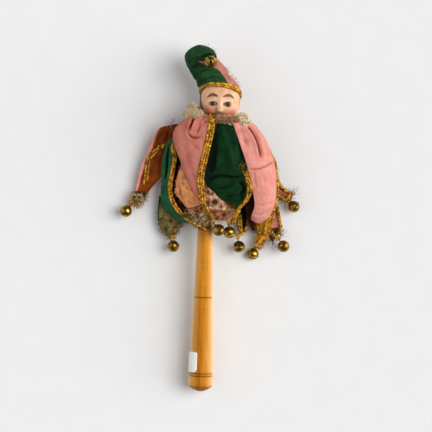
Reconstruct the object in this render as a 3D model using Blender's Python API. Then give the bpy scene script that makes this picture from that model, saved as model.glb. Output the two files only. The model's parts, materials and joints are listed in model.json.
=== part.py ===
"""A marotte rattle: a doll's head in a belled cap over a collar of belled petals, on a turned stick.

Lengths are in metres. The toy is modelled upright, with the stick along +Z from the tip of its butt and the
face towards -Y. The empty `toy` then lays it on its back, head towards +Y and face up, resting on z = 0
with the origin under the middle of its box. Angles round the body go from the toy's right (+X) over its
front.
"""

import math
from collections import namedtuple

import bmesh
import bpy
from mathutils import Matrix, Vector

for old in list(bpy.data.objects):
    bpy.data.objects.remove(old, do_unlink=True)

# Fits
SEAT = 0.0003
CLOTH_LIFT = 0.0010

# Stick
BUTT_TIP_R = 0.0022
BUTT_R = 0.0117
BUTT_CONE = 0.0055
HANDLE_TOP_R = 0.0063
HANDLE_LENGTH = 0.1780
GROOVE_DEPTH = 0.0006
GROOVE_WIDTH = 0.0014
BUTT_GROOVE = 0.0150
GROOVE_PITCH = 0.0024
MIDDLE_GROOVE = 0.0900
SPIGOT_R = 0.0040
SPIGOT_LENGTH = 0.0180

# Paper label on the stick
LABEL_BOTTOM = 0.0185
LABEL_HEIGHT = 0.0195
LABEL_FROM = math.radians(105.0)
LABEL_ROUND = math.radians(88.0)
LABEL_THICKNESS = 0.0003

# Torso, leaning to the toy's right on the stick
TORSO_LEAN = math.radians(5.8)
TORSO_HEIGHT = 0.0740
TORSO_FOOT_R = 0.0095
TORSO_NECK_R = 0.0118
SHOULDER_R = 0.0235
SHOULDER_HEIGHT = 0.0580
DOWEL_R = 0.0035
DOWEL_IN_TORSO = 0.0180
DOWEL_IN_HEAD = 0.0200

# Head
CHIN_RISE = 0.0030
HEAD_HALF_WIDTH = 0.0186
HEAD_HALF_DEPTH = 0.0188
HEAD_HALF_TALL = 0.0240
HEAD_TILT = math.radians(-5.0)
JAW_NARROWING = 0.16
NECK_R = 0.0082
EYE_R = 0.0046
EYE_APART = 0.0140
EYE_DROP = 0.0050
EYE_PROUD = 0.0011
NOSE_LENGTH = 0.0100
NOSE_WIDTH = 0.0052
NOSE_PROUD = 0.0042
NOSE_DROP = 0.0088

# Cap
BRIM_RISE = 0.0042
BRIM_BACK = 0.0009
BRIM_TILT = math.radians(19.0)
CAP_CLOTH = 0.0010
CAP_OPEN_R = 0.0192
CAP_BEND = 1.5
CAP_SEAM = math.radians(62.0)
CAP_SEAM_GAP = 0.0009
BAND_WIDTH = 0.0044
BAND_THICKNESS = 0.0012
CAP_ROUTE = (
    (-0.0035, 0.0160, -0.0020, 0.0190),
    (-0.0095, 0.0235, -0.0030, 0.0176),
    (-0.0160, 0.0310, -0.0030, 0.0154),
    (-0.0215, 0.0374, -0.0025, 0.0128),
    (-0.0255, 0.0418, -0.0020, 0.0103),
    (-0.0280, 0.0446, -0.0020, 0.0070),
    (-0.0292, 0.0460, -0.0020, 0.0026),
)
TIP_ROUTE = (
    (-0.0250, 0.0400, 0.0010, 0.0070),
    (-0.0170, 0.0443, 0.0060, 0.0068),
    (-0.0110, 0.0438, 0.0105, 0.0044),
    (-0.0070, 0.0417, 0.0135, 0.0018),
)
WADDING_FROM = 0.0275
WADDING_EASE = 0.0012
CAP_BELL_WAY = (-0.25, -0.76, -0.60)
THREAD_R = 0.0004
THREAD_RING_R = 0.0012

# Ruff and neck tape
NECK_BAND_R = 0.0120
NECK_BAND_HEIGHT = 0.0040
RUFF_PLEATS = 13
RUFF_EASE = 0.0032
RUFF_SIDE_R = 0.0270
RUFF_FRONT_R = 0.0195
RUFF_FRONT_RISE = 0.0060
RUFF_SIDE_RISE = 0.0115
RUFF_WAVE = 0.0020
RUFF_THICKNESS = 0.0008

# Petals and their braid
PETAL_THICKNESS = 0.0012
SEAM_GAP = 0.0006
SEAM_HEIGHT = 0.0018
SEAM_HALF = 0.0034
TIP_HALF = 0.0018
CREST_SHARE = 0.14
BELLY_SHARE = 0.42
LOWER_SHARE = 0.74
PLEAT_DEPTH = 0.0013
BRAID_R = 0.0011
BRAID_GAP = 0.0006
LOOP_R = 0.00055
LOOP_REACH = 0.0034

# Bells
BELL_R = 0.0057
BELL_WALL = 0.0005
BELL_LIP = 0.0004
SHANK_HOLE_R = 0.0011
SHANK_WIRE_R = 0.0004
SLIT_WIDTH = 0.0012
SLIT_LENGTH = 0.0066
SLIT_EYE_R = 0.0011
PELLET_R = 0.0017

Petal = namedtuple("Petal", "place cloth on seam faces crest belly lower tip halves arch")

# A crest is (angle, radius, rise over the seam). A belly, lower or tip point is (across, up from the stick's
# top, height over what the petal lies on). The halves are half widths at the crest, belly and lower points.
PETALS = (
    Petal("front", "green", "shoulder", 80, 88, (76, 0.0270, 0.0010), (0.0168, 0.0380, -0.0022),
          (0.0228, 0.0100, -0.0102), (0.0230, -0.0170, -0.0272), (0.0055, 0.0126, 0.0132), 0.15),
    Petal("front_left", "pink", "shoulder", 125, 110, (125, 0.0295, 0.0045), (-0.0160, 0.0440, -0.0012),
          (-0.0125, 0.0120, -0.0092), (0.0060, -0.0145, -0.0142), (0.0115, 0.0130, 0.0100), 0.30),
    Petal("left", "green", "floor", 170, 150, (168, 0.0275, -0.0020), (-0.0345, 0.0400, 0.0250),
          (-0.0385, 0.0060, 0.0190), (-0.0325, -0.0310, 0.0105), (0.0055, 0.0095, 0.0085), 0.20),
    Petal("back_left", "pink", "floor", 215, 252, (212, 0.0310, 0.0010), (-0.0460, 0.0520, 0.0100),
          (-0.0575, 0.0190, 0.0070), (-0.0700, -0.0005, 0.0064), (0.0080, 0.0125, 0.0090), -0.10),
    Petal("back", "green", "floor", 260, 270, (262, 0.0266, -0.0070), (0.0085, 0.0370, 0.0014),
          (0.0255, 0.0000, 0.0024), (0.0310, -0.0295, 0.0064), (0.0060, 0.0110, 0.0080), 0.0),
    Petal("back_right", "pink", "floor", 305, 280, (306, 0.0285, -0.0055), (0.0405, 0.0340, 0.0040),
          (0.0510, -0.0020, 0.0040), (0.0690, -0.0295, 0.0064), (0.0052, 0.0100, 0.0080), 0.0),
    Petal("right", "green", "floor", 350, 292, (352, 0.0275, -0.0015), (0.0480, 0.0500, 0.0180),
          (0.0625, 0.0260, 0.0125), (0.0770, 0.0080, 0.0070), (0.0054, 0.0080, 0.0070), 0.10),
    Petal("front_right", "pink", "floor", 35, 66, (36, 0.0310, 0.0020), (0.0550, 0.0340, 0.0380),
          (0.0590, 0.0000, 0.0290), (0.0490, -0.0380, 0.0070), (0.0070, 0.0150, 0.0140), 0.55),
)

# Facets
TURN_STEPS = 24
BELL_STEPS = 10
PETAL_ROWS = 14
PETAL_COLUMNS = 5
CAP_STEPS = 12
CAP_ROWS = 11

# Worked out from the sizes above
HEAD_HEIGHT = TORSO_HEIGHT + CHIN_RISE + HEAD_HALF_TALL
TORSO_BASE = HANDLE_LENGTH + HANDLE_TOP_R * math.sin(TORSO_LEAN) + SEAT
SEAM_R = NECK_BAND_R + SEAM_GAP
SEAM_LEVEL = TORSO_HEIGHT + SEAM_HEIGHT
UNDER_SHOULDER = SHOULDER_R + PETAL_THICKNESS + 2 * CLOTH_LIFT
LEVELS = {"floor": 0.0, "shoulder": UNDER_SHOULDER + SHOULDER_R}
LIE_PITCH = math.atan((UNDER_SHOULDER - BUTT_R) / (TORSO_BASE + SHOULDER_HEIGHT - BUTT_CONE))
BELL_DROP = SHANK_HOLE_R - LOOP_R - SEAT
SHANK_R = SHANK_HOLE_R + SHANK_WIRE_R
BELL_CENTRE = BELL_DROP + SHANK_R + BELL_R
PELLET_REST = BELL_R - BELL_WALL - PELLET_R - SEAT
RUFF_IN_R = NECK_R + RUFF_EASE
RUFF_LEVEL = TORSO_HEIGHT + NECK_BAND_HEIGHT + 3 * SEAT + RUFF_THICKNESS


def finish(name, colour, roughness, metallic=0.0):
    """A plain Principled material."""
    look = bpy.data.materials.new(name)
    look.use_nodes = True
    shader = look.node_tree.nodes["Principled BSDF"]
    shader.inputs["Base Color"].default_value = (*colour, 1.0)
    shader.inputs["Roughness"].default_value = roughness
    shader.inputs["Metallic"].default_value = metallic
    look.diffuse_color = (*colour, 1.0)
    return look


WOOD = finish("wood", (0.62, 0.36, 0.12), 0.45)
PAINT = finish("painted_skin", (0.80, 0.55, 0.40), 0.40)
GLASS = finish("eye_glass", (0.05, 0.04, 0.02), 0.15)
CLOTHS = {"green": finish("green_cloth", (0.03, 0.12, 0.05), 0.9),
          "pink": finish("pink_cloth", (0.70, 0.30, 0.26), 0.9)}
CREAM = finish("cream_frill", (0.68, 0.56, 0.38), 0.95)
WADDING = finish("wadding", (0.75, 0.70, 0.60), 1.0)
GOLD = finish("gold_braid", (0.45, 0.26, 0.05), 0.5)
BRASS = finish("brass", (0.50, 0.38, 0.12), 0.35, 1.0)
IRON = finish("iron", (0.25, 0.25, 0.26), 0.5, 1.0)
PAPER = finish("paper", (0.88, 0.88, 0.84), 0.8)


def frame(name, owner=None, matrix=None):
    """An empty that carries pieces."""
    empty = bpy.data.objects.new(name, None)
    bpy.context.scene.collection.objects.link(empty)
    empty.parent = owner
    if matrix is not None:
        empty.matrix_basis = matrix
    return empty


def add(name, data, look, owner):
    piece = bpy.data.objects.new(name, data)
    bpy.context.scene.collection.objects.link(piece)
    if not data.materials:
        data.materials.append(look)
    piece.parent = owner
    return piece


def turned(name, profile, look, owner, steps=TURN_STEPS, ring=False):
    """A turned piece: a profile of (radius, height) that runs down its outer side, spun about Z."""
    count = len(profile)
    edges = [(i, i + 1) for i in range(count - 1)]
    if ring:
        edges.append((count - 1, 0))
    mesh = bpy.data.meshes.new(name)
    mesh.from_pydata([(radius, 0.0, height) for radius, height in profile], edges, [])
    piece = add(name, mesh, look, owner)
    turn = piece.modifiers.new("turn", "SCREW")
    turn.axis = "Z"
    turn.steps = steps
    turn.render_steps = steps
    turn.use_merge_vertices = True
    turn.merge_threshold = 0.00001
    return piece


def sheet(name, rows, thickness, look, owner, closed=False):
    """A cloth or paper piece: a grid of points on its outer face, thickened inwards."""
    columns = len(rows[0])
    around = columns if closed else columns - 1
    faces = []
    for i in range(len(rows) - 1):
        for j in range(around):
            k = (j + 1) % columns
            low, high = i * columns, (i + 1) * columns
            faces.append((low + j, high + j, high + k, low + k))
    mesh = bpy.data.meshes.new(name)
    mesh.from_pydata([point for row in rows for point in row], [], faces)
    piece = add(name, mesh, look, owner)
    thicken = piece.modifiers.new("thicken", "SOLIDIFY")
    thicken.thickness = thickness
    thicken.offset = -1.0
    return piece


def cord(name, points, radii, look, owner, closed=False, roundness=1):
    """A round cord along the points, with a radius at each."""
    curve = bpy.data.curves.new(name, "CURVE")
    curve.dimensions = "3D"
    curve.bevel_depth = max(radii)
    curve.bevel_resolution = roundness
    curve.use_fill_caps = True
    line = curve.splines.new("POLY")
    line.points.add(len(points) - 1)
    line.use_cyclic_u = closed
    for spot, point, radius in zip(line.points, points, radii):
        spot.co = (*point, 1.0)
        spot.radius = radius / max(radii)
    return add(name, curve, look, owner)


def ball(name, radius, look, owner, steps=16, rings=10):
    shape = bmesh.new()
    bmesh.ops.create_uvsphere(shape, u_segments=steps, v_segments=rings, radius=radius)
    mesh = bpy.data.meshes.new(name)
    shape.to_mesh(mesh)
    shape.free()
    return add(name, mesh, look, owner)


def rod(name, radius, length, look, owner, steps=16):
    """A round bar up Z from its own origin."""
    return turned(name, [(0.0, length), (radius, length), (radius, 0.0), (0.0, 0.0)], look, owner, steps)


def work(piece, tool, operation="DIFFERENCE"):
    """Cuts the tool from the piece, or joins it on."""
    step = piece.modifiers.new(operation.lower(), "BOOLEAN")
    step.operation = operation
    step.solver = "EXACT"
    step.object = tool
    tool.hide_render = True
    tool.display_type = "WIRE"


def baked(piece, tools):
    """The finished mesh of a piece, for the copies that share it."""
    bpy.context.view_layer.update()
    mesh = bpy.data.meshes.new_from_object(piece.evaluated_get(bpy.context.evaluated_depsgraph_get()))
    for used in (piece, *tools):
        bpy.data.objects.remove(used, do_unlink=True)
    return mesh


def eased(knots, at):
    """The value at a place between (place, value) knots, without corners."""
    for (a, low), (b, high) in zip(knots, knots[1:]):
        if at <= b:
            share = (at - a) / (b - a)
            return low + (high - low) * (1.0 - math.cos(math.pi * share)) / 2.0
    return knots[-1][1]


def smooth(points, count):
    """Evenly spaced points on a smooth curve through the given ones."""
    ends = [2 * points[0] - points[1], *points, 2 * points[-1] - points[-2]]
    fine = []
    for a, b, c, d in zip(ends, ends[1:], ends[2:], ends[3:]):
        for step in range(24):
            t = step / 24
            fine.append(0.5 * (2 * b + (c - a) * t + (2 * a - 5 * b + 4 * c - d) * t * t
                               + (3 * b - a - 3 * c + d) * t * t * t))
    fine.append(points[-1].copy())
    lengths = [0.0]
    for a, b in zip(fine, fine[1:]):
        lengths.append(lengths[-1] + (b - a).length)
    even = []
    place = 0
    for i in range(count):
        want = lengths[-1] * i / (count - 1)
        while place < len(fine) - 2 and lengths[place + 1] < want:
            place += 1
        share = (want - lengths[place]) / (lengths[place + 1] - lengths[place])
        even.append(fine[place].lerp(fine[place + 1], share))
    return even


def around(angle):
    """The direction out from the axis at an angle round the body."""
    return Vector((math.cos(angle), -math.sin(angle), 0.0))


def handle_r(height):
    share = (height - BUTT_CONE) / (HANDLE_LENGTH - BUTT_CONE)
    return BUTT_R + (HANDLE_TOP_R - BUTT_R) * share


def groove(height):
    """A V cut in the stick, from its upper lip to its lower one."""
    half = GROOVE_WIDTH / 2
    return [(handle_r(height + half), height + half), (handle_r(height) - GROOVE_DEPTH, height),
            (handle_r(height - half), height - half)]


toy = frame("toy")
torso_frame = frame("torso_frame", toy,
                    Matrix.Translation((0.0, 0.0, TORSO_BASE)) @ Matrix.Rotation(TORSO_LEAN, 4, "Y"))
head_frame = frame("head_frame", torso_frame,
                   Matrix.Translation((0.0, 0.0, HEAD_HEIGHT)) @ Matrix.Rotation(HEAD_TILT, 4, "Y"))

# Stick: the spigot on top goes into the torso, and the lathe left a small flat on the tip of the butt.
turned("handle",
       [(0.0, HANDLE_LENGTH + SPIGOT_LENGTH), (SPIGOT_R, HANDLE_LENGTH + SPIGOT_LENGTH),
        (SPIGOT_R, HANDLE_LENGTH), (HANDLE_TOP_R, HANDLE_LENGTH), *groove(MIDDLE_GROOVE),
        *groove(BUTT_GROOVE + GROOVE_PITCH), *groove(BUTT_GROOVE), (BUTT_R, BUTT_CONE),
        ((BUTT_R + BUTT_TIP_R) * 0.55, BUTT_CONE * 0.36), (BUTT_TIP_R, 0.0), (0.0, 0.0)],
       WOOD, toy)

label = []
for i in range(4):
    height = LABEL_BOTTOM + LABEL_HEIGHT * i / 3
    label.append([around(LABEL_FROM + LABEL_ROUND * j / 8) * (handle_r(height) + SEAT + LABEL_THICKNESS)
                  + Vector((0.0, 0.0, height)) for j in range(9)])
sheet("paper_label", label, LABEL_THICKNESS, PAPER, toy)

# Torso: bored on top for the dowel, and underneath along the stick for the spigot.
flank = [(TORSO_FOOT_R + (SHOULDER_R - TORSO_FOOT_R) * (i / 6) ** 2, SHOULDER_HEIGHT * i / 6)
         for i in range(6)]
crown = [(TORSO_NECK_R + (SHOULDER_R - TORSO_NECK_R) * math.cos(math.pi * i / 10),
          SHOULDER_HEIGHT + (TORSO_HEIGHT - SHOULDER_HEIGHT) * math.sin(math.pi * i / 10))
         for i in range(6)]
torso = turned("torso",
               [(0.0, TORSO_HEIGHT - DOWEL_IN_TORSO - SEAT),
                (DOWEL_R + SEAT, TORSO_HEIGHT - DOWEL_IN_TORSO - SEAT), (DOWEL_R + SEAT, TORSO_HEIGHT),
                *crown[::-1], *flank[::-1], (0.0, 0.0)],
               WOOD, torso_frame)
spigot_bore = rod("spigot_bore", SPIGOT_R + SEAT, 2 * SPIGOT_LENGTH, WOOD, toy)
spigot_bore.location.z = HANDLE_LENGTH - SPIGOT_LENGTH + SEAT
work(torso, spigot_bore)

dowel = rod("neck_dowel", DOWEL_R, DOWEL_IN_TORSO + DOWEL_IN_HEAD, WOOD, torso_frame)
dowel.location.z = TORSO_HEIGHT - DOWEL_IN_TORSO

# Head: an egg on a neck, bored for the dowel, with a nose and two eye sockets.
head = ball("head", 1.0, PAINT, head_frame, 22, 15)
for vertex in head.data.vertices:
    drawn_in = 1.0 - JAW_NARROWING * max(0.0, -vertex.co.z) ** 2
    vertex.co = (vertex.co.x * HEAD_HALF_WIDTH * drawn_in, vertex.co.y * HEAD_HALF_DEPTH,
                 vertex.co.z * HEAD_HALF_TALL)
neck = rod("neck", NECK_R, HEAD_HEIGHT - TORSO_HEIGHT - SEAT, PAINT, torso_frame, 20)
neck.location.z = TORSO_HEIGHT + SEAT
work(head, neck, "UNION")
nose = ball("nose", 1.0, PAINT, head_frame, 10, 8)
nose.scale = (NOSE_WIDTH / 2, NOSE_PROUD, NOSE_LENGTH / 2)
nose.location = (0.0, -HEAD_HALF_DEPTH * math.sqrt(1 - (NOSE_DROP / HEAD_HALF_TALL) ** 2), -NOSE_DROP)
work(head, nose, "UNION")
head_bore = rod("head_bore", DOWEL_R + SEAT, DOWEL_IN_HEAD + 2 * SEAT, PAINT, torso_frame)
head_bore.location.z = TORSO_HEIGHT - SEAT
work(head, head_bore)
for side, name in ((-1, "eye_left"), (1, "eye_right")):
    across = side * EYE_APART / 2
    off_middle = (across / HEAD_HALF_WIDTH) ** 2 + (EYE_DROP / HEAD_HALF_TALL) ** 2
    face = HEAD_HALF_DEPTH * math.sqrt(1 - off_middle)
    socket = ball(f"{name}_socket", EYE_R + SEAT, PAINT, head_frame, 12, 8)
    eye = ball(name, EYE_R, GLASS, head_frame, 12, 8)
    for piece in (socket, eye):
        piece.location = (across, EYE_R - EYE_PROUD - face, -EYE_DROP)
    work(head, socket)

# Cap: a bent stuffed cone on a brim that tips back over the crown of the head.
BRIM = Matrix.Translation((0.0, BRIM_BACK, BRIM_RISE)) @ Matrix.Rotation(-BRIM_TILT, 4, "X")
FRONT = Vector((0.0, -1.0, 0.0))


def rings_along(spots, radii, count, first=None):
    """Evenly spaced (middle, right, forward, radius) along a line, turning to it from a first direction."""
    both = smooth([Vector((*spot, 2 * radius)) for spot, radius in zip(spots, radii)], count)
    rings = []
    for i, spot in enumerate(both):
        ahead = (both[min(i + 1, count - 1)] - both[max(i - 1, 0)]).to_3d().normalized()
        if first:
            ahead = first.lerp(ahead, min(1.0, CAP_BEND * i / (count - 1)))
        right = ahead.cross(FRONT).normalized()
        rings.append((spot.to_3d(), right, right.cross(ahead), spot.w / 2))
    return rings


def ring_points(ring, shrink, start, turn, steps, gap=0.0):
    """Points round a ring, from one angle through another, less half a gap at each end."""
    spot, right, forward, radius = ring
    angles = [start + gap / 2 / radius + (turn - gap / radius) * j / steps for j in range(steps + 1)]
    ways = [right * math.cos(angle) + forward * math.sin(angle) for angle in angles]
    return [spot + way * (radius - shrink) for way in ways]


def stuffed(name, rings, shrink, look, owner, steps):
    """A closed body through the rings."""
    points = []
    for ring in rings:
        points += ring_points(ring, shrink, 0.0, 2 * math.pi, steps)[:-1]
    faces = [tuple(range(steps)), tuple(reversed(range(len(points) - steps, len(points))))]
    for low in range(0, len(points) - steps, steps):
        for j in range(steps):
            k = (j + 1) % steps
            faces.append((low + j, low + steps + j, low + steps + k, low + k))
    mesh = bpy.data.meshes.new(name)
    mesh.from_pydata(points, [], faces)
    return add(name, mesh, look, owner)


def route(table):
    """The middles and radii of a (right, up, forward, radius) table."""
    middles = [Vector((right, -forward, up)) for right, up, forward, radius in table]
    return middles, [row[3] for row in table]


middles, radii = route(CAP_ROUTE)
brim_way = BRIM.to_3x3() @ Vector((0.0, 0.0, 1.0))
cap_rings = rings_along([BRIM @ Vector((0.0, 0.0, BAND_WIDTH)), *middles], [CAP_OPEN_R + CAP_CLOTH, *radii],
                        CAP_ROWS, brim_way)
cap_rings.insert(0, (BRIM.translation, *cap_rings[0][1:]))
halves = {}
for cloth, start in (("green", CAP_SEAM), ("pink", CAP_SEAM + math.pi)):
    rows = [ring_points(ring, 0.0, start, math.pi, CAP_STEPS, CAP_SEAM_GAP) for ring in cap_rings]
    halves[cloth] = sheet(f"cap_{cloth}_half", rows, CAP_CLOTH, CLOTHS[cloth], head_frame)

wadding = stuffed("cap_wadding", [ring for ring in cap_rings[:-2] if ring[0].z > WADDING_FROM],
                  CAP_CLOTH + WADDING_EASE, WADDING, head_frame, CAP_STEPS)

# The tip is folded over to the right. It is one with the green half, and the rest of the cap gives it room.
tip_rings = rings_along(*route(TIP_ROUTE), 7)
work(halves["green"], stuffed("folded_tip", tip_rings, 0.0, CLOTHS["green"], head_frame, 12), "UNION")
tip_back = (tip_rings[0][0] - tip_rings[1][0]).normalized()
room_start = (tip_rings[0][0] + tip_back * 2 * SEAT, *tip_rings[0][1:])
tip_room = stuffed("tip_room", [room_start, *tip_rings[1:]], -2 * SEAT, CLOTHS["green"], head_frame, 12)
work(halves["pink"], tip_room)
work(wadding, tip_room)

# Band: gold braid round the brim.
band_in = CAP_OPEN_R + CAP_CLOTH + 2 * SEAT
turned("cap_band",
       [(band_in, BAND_WIDTH), (band_in + BAND_THICKNESS, BAND_WIDTH * 0.8),
        (band_in + BAND_THICKNESS, BAND_WIDTH * 0.2), (band_in, 0.0)],
       GOLD, frame("brim_frame", head_frame, BRIM), ring=True)

# Neck: the tape that the petals are gathered on, and the frill above it.
neck_frame = frame("neck_frame", torso_frame, Matrix.Translation((0.0, 0.0, TORSO_HEIGHT + SEAT)))
turned("neck_band",
       [(NECK_R + SEAT, NECK_BAND_HEIGHT), (NECK_BAND_R, NECK_BAND_HEIGHT),
        (NECK_BAND_R, 0.0), (NECK_R + SEAT, 0.0)],
       GOLD, neck_frame, ring=True)

ruff = []
for share in (1.0, 0.7, 0.35, 0.0):
    row = []
    for j in range(4 * RUFF_PLEATS):
        angle = math.pi * j / (2 * RUFF_PLEATS)
        to_front = max(0.0, math.sin(angle))
        reach = RUFF_SIDE_R + (RUFF_FRONT_R - RUFF_SIDE_R) * to_front - RUFF_IN_R
        rise = RUFF_SIDE_RISE + (RUFF_FRONT_RISE - RUFF_SIDE_RISE) * to_front
        height = RUFF_LEVEL + rise * share ** 1.8 + RUFF_WAVE * share * math.sin(RUFF_PLEATS * angle)
        row.append(around(angle) * (RUFF_IN_R + reach * share) + Vector((0.0, 0.0, height)))
    ruff.append(row)
sheet("neck_ruff", ruff, RUFF_THICKNESS, CREAM, torso_frame, closed=True)

# Bells: a crown with its shank ring, a slit cup and a pellet, hanging from the origin down -Z. The ring
# turns on X.


def arc(radius, first, last, count):
    """(radius, height) points on a circle, by their angle down from the top."""
    angles = [math.radians(first + (last - first) * i / count) for i in range(count + 1)]
    return [(radius * math.sin(angle), radius * math.cos(angle)) for angle in angles]


def lowered(points):
    return [(max(0.0, across), up - BELL_CENTRE) for across, up in points]


inner = BELL_R - BELL_WALL
lip = [(BELL_R + BELL_LIP, 2 * BELL_LIP), (BELL_R + BELL_LIP, SEAT / 2)]
crown_profile = [*arc(BELL_R, 0, 75, 3), *lip, (inner, SEAT / 2), *arc(inner, 75, 0, 3)]
crown_proto = turned("crown", lowered(crown_profile), BRASS, None, BELL_STEPS)
turns = [2 * math.pi * i / 8 for i in range(8)]
ring_line = [Vector((0.0, SHANK_R * math.sin(turn), SHANK_R * math.cos(turn) - BELL_DROP))
             for turn in turns]
shank_line = cord("shank_line", ring_line, [SHANK_WIRE_R] * 8, BRASS, None, True, 0)
shank = add("shank", baked(shank_line, ()), BRASS, None)
work(crown_proto, shank, "UNION")
CROWN_MESH = baked(crown_proto, (shank,))

lip_below = [(across, -up) for across, up in reversed(lip)]
cup_profile = [*arc(inner, 180, 105, 3), (inner, -SEAT / 2), *lip_below, *arc(BELL_R, 105, 180, 3)]
cup_proto = turned("cup", lowered(cup_profile), BRASS, None, BELL_STEPS)
shape = bmesh.new()
bmesh.ops.create_cube(shape, size=1.0)
slit_mesh = bpy.data.meshes.new("slit")
shape.to_mesh(slit_mesh)
shape.free()
slit = add("slit", slit_mesh, BRASS, None)
slit.scale = (SLIT_LENGTH, SLIT_WIDTH, BELL_R)
slit.location.z = -BELL_CENTRE - BELL_R * 1.12
tools = [slit]
for side in (-1, 1):
    eye_hole = rod("slit_eye", SLIT_EYE_R, BELL_R, BRASS, None, 8)
    eye_hole.location = (side * SLIT_LENGTH / 2, 0.0, -BELL_CENTRE - BELL_R * 1.4)
    tools.append(eye_hole)
for tool in tools:
    work(cup_proto, tool)
CUP_MESH = baked(cup_proto, tools)

shape = bmesh.new()
bmesh.ops.create_icosphere(shape, subdivisions=1, radius=PELLET_R)
PELLET_MESH = bpy.data.meshes.new("pellet")
shape.to_mesh(PELLET_MESH)
shape.free()


def bell(name, owner, spot, swing, down):
    """A bell whose ring turns at `spot` about the `swing` direction, and that hangs along `down`."""
    up = -down
    turned_about = (swing - up * swing.dot(up)).normalized()
    axes = Matrix((turned_about, up.cross(turned_about), up)).transposed().to_4x4()
    hanger = frame(f"{name}_frame", owner, Matrix.Translation(spot) @ axes)
    add(f"{name}_crown", CROWN_MESH, BRASS, hanger)
    add(f"{name}_cup", CUP_MESH, BRASS, hanger)
    pellet = add(f"{name}_pellet", PELLET_MESH, IRON, hanger)
    pellet.location.z = -BELL_CENTRE - PELLET_REST


# The cap's bell hangs on a ring of thread under the folded tip, a little in front of it.
tip_end = tip_rings[-1][0]
drop = Vector(CAP_BELL_WAY).normalized()
thread_swing = (FRONT - drop * FRONT.dot(drop)).normalized()
thread_middle = tip_end + drop * (TIP_ROUTE[-1][3] + SEAT + THREAD_R + THREAD_RING_R)
thread_ways = [drop * math.cos(turn) + thread_swing * math.sin(turn) for turn in turns]
cord("cap_bell_thread", [thread_middle + way * THREAD_RING_R for way in thread_ways],
     [THREAD_R] * 8, GOLD, head_frame, True, 0)
bell("bell_cap", head_frame, thread_middle + drop * THREAD_RING_R, thread_swing, drop)

# Petals: each is gathered on the neck tape, goes out over the shoulder and hangs to its tip.
TORSO = torso_frame.matrix_basis


def lying(across, over_stick, height):
    """A point at a height over the floor that the toy lies on."""
    along = HANDLE_LENGTH + over_stick
    floor = BUTT_R + (along - BUTT_CONE) * math.tan(LIE_PITCH)
    return Vector((across, floor - height, along))


def petal_rows(petal):
    """(middle, ahead, outward, sideways, half width, share of the length) from the seam to the tip."""
    up = TORSO.to_3x3() @ Vector((0.0, 0.0, 1.0))
    seam = around(math.radians(petal.seam))
    faces = around(math.radians(petal.faces))
    crest_at, crest_r, crest_rise = petal.crest
    crest = around(math.radians(crest_at))
    out = TORSO.to_3x3() @ crest
    line = [TORSO @ (seam * SEAM_R + Vector((0.0, 0.0, SEAM_LEVEL))),
            TORSO @ (crest * crest_r + Vector((0.0, 0.0, SEAM_LEVEL + crest_rise))),
            *[lying(across, over_stick, LEVELS[petal.on] + height)
              for across, over_stick, height in (petal.belly, petal.lower, petal.tip)]]
    spots = smooth(line, PETAL_ROWS)
    shares = (0.0, CREST_SHARE, BELLY_SHARE, LOWER_SHARE, 1.0)
    width = tuple(zip(shares, (SEAM_HALF, *petal.halves, TIP_HALF)))
    rows = []
    for i, spot in enumerate(spots):
        share = i / (PETAL_ROWS - 1)
        ahead = (spots[min(i + 1, PETAL_ROWS - 1)] - spots[max(i - 1, 0)]).normalized()
        crest_way = up + 0.5 * (out + faces)
        if share < CREST_SHARE:
            outward = up.lerp(crest_way, share / CREST_SHARE)
        else:
            turn = eased(((CREST_SHARE, 0.0), (BELLY_SHARE, 1.0)), share)
            outward = crest_way.normalized().lerp(faces, turn)
        sideways = outward.cross(ahead).normalized()
        rows.append((spot, ahead, ahead.cross(sideways), sideways, eased(width, share), share))
    return rows


for petal in PETALS:
    rows = petal_rows(petal)
    seam_spot = rows[0][0]
    hinge = frame(f"petal_{petal.place}_hinge", toy, Matrix.Translation(seam_spot))
    grid = []
    edges = {-1: [], 1: []}
    for spot, ahead, outward, sideways, half, share in rows:
        bow = petal.arch * half * min(1.0, 3.0 * share) * min(1.0, 4.0 * (1.0 - share) + 0.15)
        pleat = PLEAT_DEPTH * 6.75 * share * (1.0 - share) ** 2
        line = []
        for j in range(PETAL_COLUMNS):
            across = 2.0 * j / (PETAL_COLUMNS - 1) - 1.0
            rise = pleat * math.cos(2.0 * math.pi * across) * (1.0 - across ** 2) - bow * across ** 2
            line.append(spot + sideways * (half * across) + outward * rise - seam_spot)
        grid.append(line)
        if share > 0.1:
            for side in (-1, 1):
                stand = BRAID_R + BRAID_GAP + (LOOP_R - BRAID_R) * max(0.0, 4.0 * share - 3.0)
                edge = spot + sideways * (side * (half + stand)) - outward * (bow + PETAL_THICKNESS / 2)
                edges[side].append(edge - seam_spot)
    sheet(f"petal_{petal.place}", grid, PETAL_THICKNESS, CLOTHS[petal.cloth], hinge)

    spot, ahead, outward, sideways, half, share = rows[-1]
    loop_end = spot + ahead * LOOP_REACH - outward * PETAL_THICKNESS / 2 - seam_spot
    turn_in = sideways * (half * 0.75)
    back = ahead * (LOOP_REACH * 0.3)
    path = [*edges[-1], loop_end - turn_in - back, loop_end - turn_in * 0.4, loop_end + turn_in * 0.4,
            loop_end + turn_in - back, *reversed(edges[1])]
    thick = [BRAID_R + (LOOP_R - BRAID_R) * max(0.0, 4.0 * row[5] - 3.0) for row in rows if row[5] > 0.1]
    radii = [*thick, LOOP_R, LOOP_R, LOOP_R, LOOP_R, *reversed(thick)]
    cord(f"braid_{petal.place}", path, radii, GOLD, hinge)
    bell(f"bell_{petal.place}", hinge, loop_end, sideways, ahead)


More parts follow.
